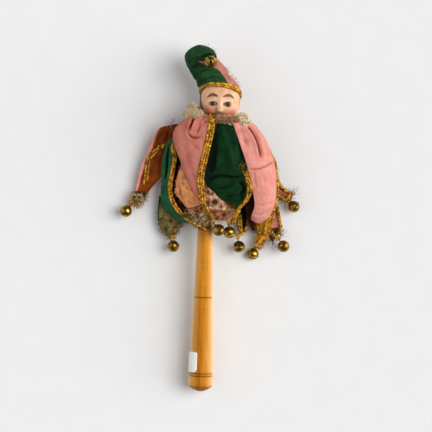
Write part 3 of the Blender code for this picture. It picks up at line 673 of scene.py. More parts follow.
def frayed_tree():
    """Loose bent threads that stand out of points along their `way`."""
    tree = Tree("frayed_threads", ("Thread", "Short", "Long", "Spread"))
    bend = tree.node("GeometryNodeCurveQuadraticBezier",
                     {"Resolution": 6, "Start": (0.0, 0.0, 0.0), "Middle": (0.34, 0.0, 0.5),
                      "End": (0.0, 0.12, 1.0)})
    way = tree.node("GeometryNodeInputNamedAttribute", {"Name": "way"}, data_type="FLOAT_VECTOR")
    stray = tree.node("FunctionNodeRandomValue", {0: (-1.0, -1.0, -1.0), 1: (1.0, 1.0, 1.0), 8: 4},
                      data_type="FLOAT_VECTOR")
    aim = tree.node("ShaderNodeVectorMath", {0: way, 1: tree.scaled(stray, tree.given["Spread"])},
                    operation="ADD")
    turn = tree.node("FunctionNodeAlignRotationToVector", {"Vector": aim}, axis="Z")
    size = tree.node("FunctionNodeRandomValue", {2: tree.given["Short"], 3: tree.given["Long"], 8: 9}, 1)
    many = tree.node("GeometryNodeInstanceOnPoints", {"Points": tree.given["Geometry"], "Instance": bend,
                                                      "Rotation": turn, "Scale": size})
    roll = tree.node("FunctionNodeRandomValue", {0: (0.0, 0.0, 0.0), 1: (0.0, 0.0, 6.28), 8: 2},
                     data_type="FLOAT_VECTOR")
    many = tree.node("GeometryNodeRotateInstances", {0: many, "Rotation": roll})
    many = tree.node("GeometryNodeRealizeInstances", {0: many})
    ring = tree.node("GeometryNodeCurvePrimitiveCircle", {"Resolution": 4, "Radius": tree.given["Thread"]})
    tree.ends(tree.node("GeometryNodeCurveToMesh", {0: many, 1: ring, "Fill Caps": True}))
    return tree


def net_tree():
    """Threads along the edges of a net."""
    tree = Tree("lace_net", ("Thread",))
    lines = tree.node("GeometryNodeMeshToCurve", {0: tree.given["Geometry"]})
    ring = tree.node("GeometryNodeCurvePrimitiveCircle", {"Resolution": 4, "Radius": tree.given["Thread"]})
    tree.ends(tree.node("GeometryNodeCurveToMesh", {0: lines, 1: ring, "Fill Caps": True}))
    return tree


CORD = twisted_cord_tree()
FRAY = frayed_tree()
NET = net_tree()
CORD_GAP = 0.0006


def cord(name, points, body, thick, finish=GOLD):
    """A twisted cord along a smooth line, `thick` across."""
    length = length_of([tuple(point) for point in points])
    line = line_through(points, max(8, int(length / CORD_GAP)))
    edges = [(i, i + 1) for i in range(len(line) - 1)]
    made = CORD.grow(name, line, edges, finish, body, Strand=thick * 0.27, Turn=thick * 0.24,
                     Pitch=thick * 1.25, Step=thick * 0.11)
    return made


def fray(name, points, ways, body, finish, count, short, long, thread=0.00011, spread=0.6):
    """Loose threads, `count` of them, spread over points that each have a way out."""
    pick = np.linspace(0, len(points) - 1, count).round().astype(int)
    made = FRAY.grow(name, np.asarray(points)[pick], [], finish, body, ways=np.asarray(ways)[pick],
                     Thread=thread, Short=short, Long=long, Spread=spread)
    return made


def net(name, rows, body, finish, thread):
    """A lace net over a sheet's grid: slanting threads through its points, and threads on three sides."""
    down, across = rows.shape[:2]
    grid = np.arange(down * across).reshape(down, across)
    edges = [*zip(grid[:-1, :-1].ravel(), grid[1:, 1:].ravel()),
             *zip(grid[:-1, 1:].ravel(), grid[1:, :-1].ravel()),
             *zip(grid[-1, :-1], grid[-1, 1:]), *zip(grid[:-1, 0], grid[1:, 0]),
             *zip(grid[:-1, -1], grid[1:, -1])]
    made = NET.grow(name, rows, [(int(a), int(b)) for a, b in edges], finish, body, Thread=thread)
    return made


# Stick and label


def stick_r(height):
    return BUTT_R + (STICK_TOP_R - BUTT_R) * (height - BUTT_CONE) / (STICK_LENGTH - BUTT_CONE)


def stick():
    """The turned stick, with its grooves, shallow cone of a butt and hidden top."""
    cut, rim = 0.55 * GROOVE_HALF, 1.6 * GROOVE_HALF
    at_grooves = [np.linspace(groove - rim, groove + rim, 13) for groove in GROOVES]
    heights = np.unique(np.concatenate([np.linspace(BUTT_CONE + 0.0012, STICK_LENGTH, 150), *at_grooves]))
    radii = stick_r(heights)
    shade = np.ones_like(heights)
    for groove in GROOVES:
        radii -= GROOVE_DEPTH * near((heights - groove) / cut)
        shade -= 0.42 * near((heights - groove) / cut) + 0.20 * near((heights - groove) / rim)
    butt = [(BUTT_TIP_R * t, 0.00002) for t in (0.0, 0.5, 1.0)]
    shoulder = (BUTT_R + BUTT_TIP_R) * 0.55
    butt += [(BUTT_TIP_R + (shoulder - BUTT_TIP_R) * t, BUTT_CONE * 0.36 * t) for t in (0.3, 0.6, 0.9)]
    butt += [(shoulder + (BUTT_R - shoulder) * t, BUTT_CONE * (0.36 + 0.64 * t))
             for t in (0.2, 0.5, 0.8, 0.95)]
    butt += [(BUTT_R - 0.00008, BUTT_CONE + 0.00012), (BUTT_R, BUTT_CONE + 0.0004)]
    end = [(TENON_R, STICK_LENGTH), (TENON_R, STICK_LENGTH + TENON), (0.0, STICK_LENGTH + TENON)]
    profile = np.array([*butt, *zip(radii, heights), *end])
    shade = np.concatenate([np.linspace(0.45, 0.85, len(butt)), shade, [0.8, 0.8, 0.8]])
    steps = 72
    rows = turned_points(profile, steps)
    stain = rough(rows * (1.0, 1.0, 0.35), 0.008, 5)
    top = ramp((rows[..., 2] - 0.137) / 0.014)
    shade = shade[:, None] * (1.0 - 0.40 * top * (0.8 + stain)) * (1.0 + 0.06 * stain)
    tint = np.stack([shade, shade ** 1.2, shade ** 1.9], axis=2)
    made = ringed("stick", moved(TOY, rows), STICK_WOOD, tint=tint)
    # Painted sheen: the stick is painted paler along its sides as it lies, less so on the butt.
    facing = np.abs(np.sin(full_turn(steps)))
    rubbed = np.ones((len(profile), 1)) * ramp((0.94 - facing) / 0.60) * 0.86
    rubbed[:len(butt)] *= np.linspace(0.0, 0.8, len(butt))[:, None]
    set_layer(made.data.attributes.new("rubbed", "FLOAT", "POINT"), "value", rubbed)
    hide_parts("handle")


def label():
    """A blank paper sticker with rounded corners, bent round the stick."""
    low, tall = 0.0185, 0.0195
    first, turn = math.radians(110.0), math.radians(83.0)
    down, across = 25, 33
    rows = []
    for v in np.linspace(0.0, 1.0, down):
        height = low + tall * v
        corner = 0.0036 if v < 0.5 else 0.0016
        edge = max(0.0, corner - min(v, 1.0 - v) * tall)
        drawn = corner - math.sqrt(max(0.0, corner ** 2 - edge ** 2))
        radius = stick_r(height)
        inset = drawn / radius
        row = []
        for u in np.linspace(0.0, 1.0, across):
            angle = first + inset + (turn - 2 * inset) * u
            lift = 0.00050 + 0.0003 * max(0.0, u - 0.86) / 0.14 * v
            row.append((math.cos(angle) * (radius + lift), -math.sin(angle) * (radius + lift), height))
        rows.append(row)
    made = cloth("label", moved(TOY, rows)[::-1], [PAPER, PAPER], "root", thick=0.0002)
    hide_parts("paper_label")


# Head

# What stands out of the face or is sunk in it, on both sides alike: millimetres out, its place across and
# up from the middle of the head, and its breadth across and up
FACE_FORMS = (
    (3.4, 0.0, -10.2, 2.9, 2.3),  # tip of the nose
    (1.5, 0.0, -5.6, 2.0, 4.4),  # bridge
    (0.8, 2.5, -10.6, 1.3, 1.3),  # nostrils
    (-0.9, EYE_SIDE - 0.4, -4.2, 5.0, 3.6),  # sockets
    (0.55, 7.4, 2.2, 5.2, 2.0),  # brows
    (1.1, 9.6, -12.6, 4.6, 4.2),  # cheeks
    (-0.7, 0.0, -12.6, 1.3, 1.4),  # groove under the nose
    (0.8, 0.0, -15.0, 3.4, 0.9),  # upper lip
    (0.9, 0.0, -17.4, 2.8, 0.9),  # lower lip
    (-0.9, 0.0, -16.2, 3.6, 0.42),  # between the lips
    (1.5, 0.0, -21.4, 4.6, 2.8),  # chin
)


def head():
    """A painted doll's head: brows, lids, nose, cheeks, lips and a little hair at the temples."""
    wide, deep, tall = HEAD_HALVES
    around, over = 264, 190
    theta = full_turn(around)[None, :]
    phi = np.linspace(0.004, math.pi - 0.004, over)[:, None]
    ux, uy = np.sin(phi) * np.cos(theta), -np.sin(phi) * np.sin(theta)
    uz = np.cos(phi) * np.ones_like(theta)
    drawn = 1.0 - JAW_NARROWING * np.maximum(0.0, -uz) ** 2
    jowls = (1.0 - np.abs(uz) ** 3) ** 0.45 / np.maximum(np.sqrt(1.0 - uz ** 2), 0.02)
    fuller = np.minimum(np.where(uz < 0.0, jowls, 1.0), 1.3)
    points = np.stack([ux * wide * drawn * fuller, uy * deep * (1.0 + 0.4 * (fuller - 1.0)), uz * tall],
                      axis=2)
    out = unit(np.stack([ux / wide, uy / deep, uz / tall], axis=2))
    x, z = points[..., 0] - FACE_SHIFT, points[..., 2]
    side = np.abs(x)
    face = ramp((-uy - 0.12) / 0.25)
    lid = np.sqrt(((side - EYE_SIDE) / 3.7) ** 2
                  + ((z + EYE_DROP + 0.012 * (side - EYE_SIDE) ** 2) / 2.0) ** 2)
    inside = 1.0 / (1.0 + np.exp((lid - 1.0) * 14.0))
    rim = near((lid - 1.18) / 0.20)
    upper = ramp((z + EYE_DROP) / 1.6)
    lift = sum(proud * hump(side, z, *place) for proud, *place in FACE_FORMS)
    lift += rim * (0.45 + 0.55 * upper) - 1.9 * inside
    lift *= face
    far_side = 0.40 * ramp(4.0 * ux)
    hair = ramp((uy + 0.46 - far_side + 0.10 * np.sin(7.0 * uz + 2.0 * ux)) / 0.10)
    hair *= ramp((z + 13.0) / 3.0)
    locks = np.sin(58.0 * np.arctan2(z + 4.0, points[..., 1] + 3.0))
    lift += hair * (0.45 + 0.16 * locks)
    points = points + out * lift[..., None]
    crown = ramp((z - 6.0) / 14.0)
    points *= np.stack([1.0 - 0.30 * crown, 1.0 - 0.20 * crown, 1.0 - 0.22 * crown], axis=2)
    points[..., 0] -= 2.5 * crown
    shaded = ramp((-5.0 - z) / 7.0) * ramp((10.0 - x) / 6.0)
    run = side - 7.4
    arch = 3.4 - np.where(run > 0, 0.11, 0.055) * run ** 2
    thick = 1.45 * ramp(1.0 - (np.abs(run) / 5.8) ** 2) + 0.05
    brow = ramp(1.6 - np.abs(z - arch) / thick) * (np.abs(run) < 5.4)
    strokes = (
        (face * 0.6 * hump(x, z, 0.4, 5.5, 3.4, 3.4), (190, 138, 98)),  # darker middle of the forehead
        (face * 0.6 * shaded, (184, 124, 82)),
        (face * 0.6 * near((lid - 1.55) / 0.36), (236, 204, 164)),  # lids
        (face * 0.85 * hump(side, z, 10.6, -12.6, 5.2, 3.8), (206, 96, 62)),  # cheeks
        (face * 0.8 * hump(x, z, 0.3, -10.6, 2.3, 2.0), (238, 204, 170)),  # painted highlight on the tip of the nose
        (face * 0.7 * hump(x, z, -3.9, -9.2, 1.2, 3.4), (150, 92, 60)),  # painted shade left of the nose
        (face * 0.4 * hump(x, z, 3.9, -9.4, 1.1, 3.0), (176, 112, 76)),  # painted shade right of the nose
        (face * 0.45 * hump(side, z, EYE_SIDE + 0.2, -9.0, 4.4, 1.0), (196, 146, 104)),  # painted shade under the eyes
        (face * 0.75 * ramp((-13.0 - z) / 3.0), (150, 78, 44)),  # painted shade on the lower face and chin, under the ruff
        (face * 1.1 * hump(x, z, 0.0, -14.8, 3.8, 0.8), (150, 52, 34)),  # upper lip
        (face * 1.1 * hump(x, z, 0.0, -17.0, 3.0, 0.9), (156, 56, 38)),  # lower lip
        (face * 1.3 * hump(x, z, -4.0, -15.0, 9.5, 1.5), (80, 32, 8)),  # painted shadow along the mouth, under the nose
        (face * 0.9 * hump(side, z, 1.6, -12.0, 0.8, 0.5), (120, 52, 30)),  # nostrils
        (face * inside, (70, 46, 24)),
        (face * 1.25 * near((lid - 1.05) / 0.15) * (0.35 + 0.65 * upper), (58, 32, 14)),  # lashes
        (face * brow, (116, 38, 2)),
        (hair * 0.95, (84, 46, 12)),
        (hair * 0.4 * ramp(locks), (66, 34, 14)),
    )
    paint = np.ones(points.shape) * colour(236, 188, 150)
    for mask, tone in strokes:
        paint += (np.array(colour(*tone)) - paint) * ramp(mask)[..., None]
    made = ringed("head_painted", moved(HEAD, points * MM), SKIN, tint=paint)
    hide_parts("head")
    steps = 40
    neck = turned_points([(NECK_R, TORSO_HEIGHT + 0.0003), (NECK_R, HEAD_HEIGHT - 0.012)], steps)
    plain = np.ones(neck.shape) * colour(214, 160, 118)
    throat = build("head_neck", moved(TORSO, neck), grid_faces(2, steps, True), [SKIN], "root", tint=plain)


def eyes():
    """Two glossy eyes: dark pupil, brown iris, dark ring."""
    wide, deep, tall = HEAD_HALVES
    proud = 0.45
    around, over = 48, 36
    angle = np.linspace(0.0, math.pi, over)[:, None] * np.ones((1, around))
    turn = full_turn(around)[None, :] * np.ones((over, 1))
    for side, name in ((-1, "eye_left"), (1, "eye_right")):
        gaze = unit(np.array((side * 0.10, -1.0, 0.02)))
        right = unit(np.cross(gaze, (0.0, 0.0, 1.0)))
        up = np.cross(right, gaze)
        ball = EYE_R * (np.cos(angle)[..., None] * gaze + np.sin(angle)[..., None]
                        * (np.cos(turn)[..., None] * right + np.sin(turn)[..., None] * up))
        face = deep * math.sqrt(1 - (EYE_SIDE / wide) ** 2 - (EYE_DROP / tall) ** 2)
        ball += np.array((side * EYE_SIDE + FACE_SHIFT, EYE_R - proud - face, -EYE_DROP))
        degrees = np.degrees(angle)
        paint = np.ones(ball.shape) * colour(204, 174, 130)
        for limit, tone in ((36, (54, 34, 14)), (31, (110, 84, 46)), (22, (72, 48, 22)), (15, (12, 7, 3))):
            share = 1.0 / (1.0 + np.exp((degrees - limit) * 0.9))
            paint += (np.array(colour(*tone)) - paint) * share[..., None]
        made = ringed(f"{name}_painted", moved(HEAD, ball * MM), EYE, tint=paint)
        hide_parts(name)


# Cap

# (right, up, back, radius) in millimetres from the middle of the head
CAP_ROUTE = ((-3.0, 12.6, 1.5, 17.8), (-7.0, 16.8, 2.0, 16.0), (-9.5, 21.5, 2.5, 15.8),
             (-15.2, 28.2, 3.0, 14.5), (-22.2, 35.2, 3.0, 12.4), (-25.2, 40.2, 3.0, 11.0),
             (-26.8, 43.6, 3.0, 8.6), (-27.8, 46.0, 3.0, 4.2), (-28.1, 46.8, 3.0, 0.4))
TIP_ROUTE = ((-27.5, 36.0, -1.0, 7.6), (-23.0, 40.6, -5.0, 8.2), (-17.0, 42.2, -8.0, 7.0),
             (-11.5, 41.4, -10.5, 4.8), (-7.0, 39.6, -12.6, 2.6), (-5.0, 38.4, -13.6, 0.4))
# Places in the picture: the pink part's outline, two frayed edges, and creases with their depth and breadth
CAP_PINK_PART = [(197.5, 60.8), (201, 58), (206, 55.8), (212, 54.3), (217, 56), (220, 63), (228, 66),
                 (236, 73), (243, 82), (248, 94), (231, 88), (228, 83), (225, 78), (219, 70), (212, 66.5),
                 (206, 65), (201, 63)]
GORE_EDGE = ((226.5, 67), (231, 73), (235, 80), (239, 86.5))
TIP_EDGE = ((204, 46.5), (210, 49), (215.5, 53.5))
CAP_CREASES = (
    (((190, 69), (195, 66.5), (201, 63), (207, 62.5)), 1.3, 1.5),
    (((195, 75.5), (201, 71.5), (207, 70), (213, 71)), 1.2, 1.3),
    (((199, 82), (206, 78.5), (213, 76.5), (221, 79)), 1.0, 1.3),
    (((187, 61), (192, 60), (197, 58)), 0.7, 1.4),
    (((197, 60.5), (202, 57), (209, 54), (215, 55)), 1.9, 1.3),
    (((203, 86), (211, 82.5), (219, 82)), 0.6, 1.0),
    (((226, 73), (228.5, 77), (230.5, 82)), 1.8, 0.8),
    (((221, 67), (226, 71), (233, 79)), 0.7, 0.8),
)


def tube(route, rows, columns, first=None):
    """Rings of points along a route from the middle of the head, and each point's way out.

    `first` is the way that the tube leaves its first ring.
    """
    line = line_through([(right, back, up, radius) for right, up, back, radius in route], rows)
    spots, radii = line[:, :3], np.maximum(line[:, 3], 0.3)
    ahead = unit(np.gradient(spots, axis=0))
    if first is not None:
        share = ramp(1.6 * np.linspace(0.0, 1.0, rows))[:, None]
        ahead = unit(np.array(first) * (1.0 - share) + ahead * share)
    right = unit(np.cross(ahead, np.array((0.0, -1.0, 0.0))))
    forward = np.cross(right, ahead)
    angles = full_turn(columns)[None, :, None]
    ring = np.cos(angles) * right[:, None, :] + np.sin(angles) * forward[:, None, :]
    points = spots[:, None, :] + ring * radii[:, None, None]
    turn = np.array(HEAD.to_3x3())
    return moved(HEAD, points * MM), ring @ turn.T


def stuffed(name, points, out, press, looks, pick, nodes):
    """A stuffed cloth piece: rings of points pressed in along their way out."""
    rows, columns = points.shape[:2]
    points = points + out * press[..., None]
    around = np.cumsum(np.linalg.norm(np.diff(points, axis=1, prepend=points[:, -1:]), axis=2), axis=1)
    along = run_along(points, 0)
    faces = grid_faces(rows, columns, True)
    which = None
    if pick is not None:
        middles = (points[:-1] + points[1:] + np.roll(points[:-1] + points[1:], -1, axis=1)) / 4
        which = pick(middles, out[:-1]).astype(int).ravel()
    # Painted shade where the cloth is pressed in
    made = build(name, points, faces, looks, "root", uv=np.stack([around, along], axis=2), which=which,
                 fold=np.clip(-press / FOLD_DEPTH - 0.25, 0.0, 0.8), outward=True)
    if nodes:
        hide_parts(*nodes)


def cap():
    """The stuffed cap: green, with a pink gore on the right, its end folded over to the right."""
    rows, columns = 130, 150
    way = ON_HEAD.to_3x3() @ Vector((0.0, 0.0, 1.0))
    route = [(spot.x / MM, spot.z / MM, spot.y / MM, BRIM_R / MM)
             for spot in (ON_HEAD @ Vector((0.0, 0.0, 0.0006)), ON_HEAD @ Vector((0.0, 0.0, 0.0048)))]
    points, out = tube([*route, *CAP_ROUTE], rows, columns, way)
    v = np.linspace(0.0, 1.0, rows)[:, None]
    upper = ramp(3.0 * out[..., 2] + 1.0)
    press = creased(points, CAP_CREASES) * upper
    press += (rough(points, 0.008, 3) * 0.55 + rough(points, 0.003, 4) * 0.22) * MM
    around = full_turn(columns)[None, :]
    for at, phase in ((0.30, 0.4), (0.44, 1.9), (0.58, 3.0), (0.72, 4.4)):
        away = v - at - 0.03 * np.sin(2 * around + phase)
        press -= 0.0010 * (1.0 - upper) * near(away / 0.018)
    press *= ramp(v / 0.12)

    def pink(middles, ways):
        right, down = picture_of(middles)
        above = within(right, down, CAP_PINK_PART) & (ways[..., 2] > 0.0)
        return above | (ways[..., 0] > 0.55) & (down > 56.5)

    body, body_out = points, out
    stuffed("cap_body", points, out, press, [CAP_GREEN, CAP_PINK], pink,
            ("cap_green_half", "cap_pink_half", "cap_wadding"))
    points, out = tube(TIP_ROUTE, 64, 80)
    press = (rough(points, 0.006, 8) * 0.5 + rough(points, 0.0024, 9) * 0.18) * MM
    press += creased(points, CAP_CREASES) * ramp(3.0 * out[..., 2] + 1.0)
    stuffed("cap_folded_tip", points, out, press, [CAP_GREEN], None, ())
    edges = (("cap_gore_threads", PALE_THREAD, 40, GORE_EDGE, body, body_out),
             ("cap_tip_threads", DARK_THREAD, 16, TIP_EDGE, points, out))
    for name, look, count, spots, sheet, ways in edges:
        line, away = spot_strand(spots, sheet, ways, 0.0)
        away = away + np.array((0.4, 0.2, 0.2))
        fray(name, line, away, "root", look, count, short=0.0012, long=0.0044, thread=0.00012, spread=0.9)
    band()


def band():
    """Gold braid round the brim: two twisted cords side by side."""
    turns = np.linspace(0.0, 2 * math.pi, 97)
    for i, height in enumerate((0.0011, 0.0033)):
        ring = np.stack([np.cos(turns) * (BRIM_R - 0.0001), np.sin(turns) * (BRIM_R - 0.0001),
                         np.full_like(turns, height) + 0.0002 * np.sin(5 * turns)], axis=1)
        made = cord(f"cap_band_{i}", moved(BRIM, ring), "root", thick=0.0026)
        if i == 0:
            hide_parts("cap_band")


# Ruff

# The frill's rise and reach, in millimetres, every 30 degrees round from the right by the front
RUFF_RISE = (0.0, -1.0, 0.5, 1.8, 1.8, 1.0, 1.0, 6.0, 8.0, 9.0, 8.0, 3.0)
RUFF_REACH = (12.0, 12.5, 12.0, 11.0, 12.0, 13.5, 15.0, 14.0, 14.0, 14.0, 14.0, 14.0)
RUFF_LOOPS = 21
RIB = 0.0024
# Its loops that show in the picture, as soft rolls: name, finish of the roll and of its fluff, thickness in
# millimetres, spots
RUFF_ROLLS = (
    ("stand", LACE, CREAM_THREAD, 5.4, ((191.6, 114, 46), (192.2, 109, 45), (192.6, 104.3, 44))),
    ("left", LACE, CREAM_THREAD, 4.8,
     ((185.2, 116.6, 47), (188, 114, 49.5), (193.5, 113.4, 51.5), (198.5, 114.2, 53), (203, 113.8, 53.5))),
    ("right_upper", LACE, CREAM_THREAD, 2.4,
     ((235.5, 117.4, 52), (239, 115, 52), (243.4, 114.4, 51), (246.6, 116.6, 50), (245.6, 119.4, 51),
      (241.6, 119.8, 53))),
    ("right_lower", LACE, CREAM_THREAD, 2.4,
     ((239, 120.6, 55), (244, 120.2, 54), (248.6, 121.4, 50.5), (249.4, 124, 49), (246, 125, 51),
      (242.3, 123.6, 54.5))),
    ("front", BROWN_THREAD, TAN_THREAD, 4.2,
     ((213.5, 118.2, 57), (219, 119, 58), (226, 119.2, 58), (232, 119.4, 57.5), (237.5, 118.4, 55))),
    ("front_upper", TAN_THREAD, CREAM_THREAD, 2.2,
     ((217, 116.6, 57), (222, 117, 58), (229, 116.8, 58), (236, 116.4, 56))),
)


def roll(number, name, look, fluff_look, thick, spots):
    """A soft lumpy roll of the frill along spots in the picture, and its fluff."""
    rows, columns = 80, 24
    line = line_through([seen(*spot) for spot in spots], rows)
    ahead = unit(np.gradient(line, axis=0))
    side = unit(np.cross(ahead, (0.0, 0.0, 1.0)))[:, None, :]
    over = np.cross(side[:, 0], ahead)[:, None, :]
    turns = full_turn(columns)[None, :, None]
    out = np.cos(turns) * side + np.sin(turns) * over
    share = np.linspace(0.0, 1.0, rows)
    long = length_of(line)
    far = np.minimum(share, 1.0 - share) * long / (thick * MM / 2)
    radius = thick * MM / 2 * np.sqrt(1.0 - np.clip(1.0 - far, 0.0, 0.97) ** 2)
    points = line[:, None, :] + out * radius[:, None, None]
    ribs = np.cos(share[:, None] * long / RIB * 2 * math.pi + 0.9 * np.sin(turns[..., 0]))
    lumps = rough(points, 0.0024, 30 + number) + 0.5 * ribs
    points += out * ((0.08 * thick + 0.2) * MM * lumps)[..., None]
    # Painted shade between the ribs of the roll
    made = ringed(f"ruff_roll_{name}", points, look, fold=np.clip(-0.8 * ribs, 0.0, 0.8))
    fluff = fray(f"ruff_roll_{name}_fluff", points.reshape(-1, 3), out.reshape(-1, 3), "root", fluff_look,
                 int(60 * thick ** 2), short=0.0008, long=0.0005 * thick + 0.0006, thread=0.00012,
                 spread=1.2)
    return made, fluff


def ruff():
    """The gathered cream frill: a ribbon in round loops, standing at the left and low under the chin."""
    rows, columns = 16, 640
    share = np.linspace(0.0, 1.0, rows)[:, None]
    angle = np.linspace(0.0, 2 * math.pi, columns)[None, :]
    front = np.maximum(0.0, np.sin(angle))
    ways = np.linspace(0.0, 2 * math.pi, len(RUFF_RISE) + 1)
    rise = np.interp(angle, ways, (*RUFF_RISE, RUFF_RISE[0])) * MM
    reach = np.interp(angle, ways, (*RUFF_REACH, RUFF_REACH[0])) * MM
    turn = RUFF_LOOPS * angle + 0.9 + 0.8 * np.sin(3 * angle)
    radius = 0.0114 + reach * share + 0.0012 * share * np.cos(2 * turn)
    height = TORSO_HEIGHT + 0.0058 + rise * share ** 1.4 + (0.0032 - 0.0014 * front) * share * np.cos(turn)
    swing = angle + 0.62 / RUFF_LOOPS * share * np.sin(2 * turn)
    points = np.stack([np.cos(swing) * radius, -np.sin(swing) * radius, height], axis=2)
    points += (rough(points, 0.004, 12) * 0.0008)[..., None] * share[..., None]
    placed = moved(TORSO, points)
    made = cloth("ruff_frill", placed[::-1], [LACE, LACE], "root", thick=0.0004)
    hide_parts("neck_ruff")
    edge = placed[-1]
    out = unit(placed[-1] - placed[-4])
    hem = cord("ruff_edge", edge[::2], "root", thick=0.0013, finish=LACE)
    fluff = fray("ruff_fluff", edge, out, "root", LACE, 700, short=0.0012, long=0.0028, thread=0.00014,
                 spread=0.9)
    rolls = [piece for number, entry in enumerate(RUFF_ROLLS) for piece in roll(number, *entry)]


# Petals

# A leaf's edges run from its crest to its end. Bulges are millimetres along them, and gathers the depth of
# the pleats at its seam. A trim is gold braid on it: the line that it lies on (a stretch of an edge, or
# places in the picture), its width in millimetres, the face that it is on (1 outer, -1 lining), the spots
# that it runs on through past the cloth, and whether it ends at the bell. Creases press the cloth in and
# are painted darker there; shades are lines of painted shade that darken it without pressing it in.
Leaf = namedtuple("Leaf", "place outer lining left right bulge gathers trims creases shades",
                  defaults=[(), ()])
Edge = namedtuple("Edge", "side start end inset")
Trim = namedtuple("Trim", "line wide face follow to_bell", defaults=[(), False])

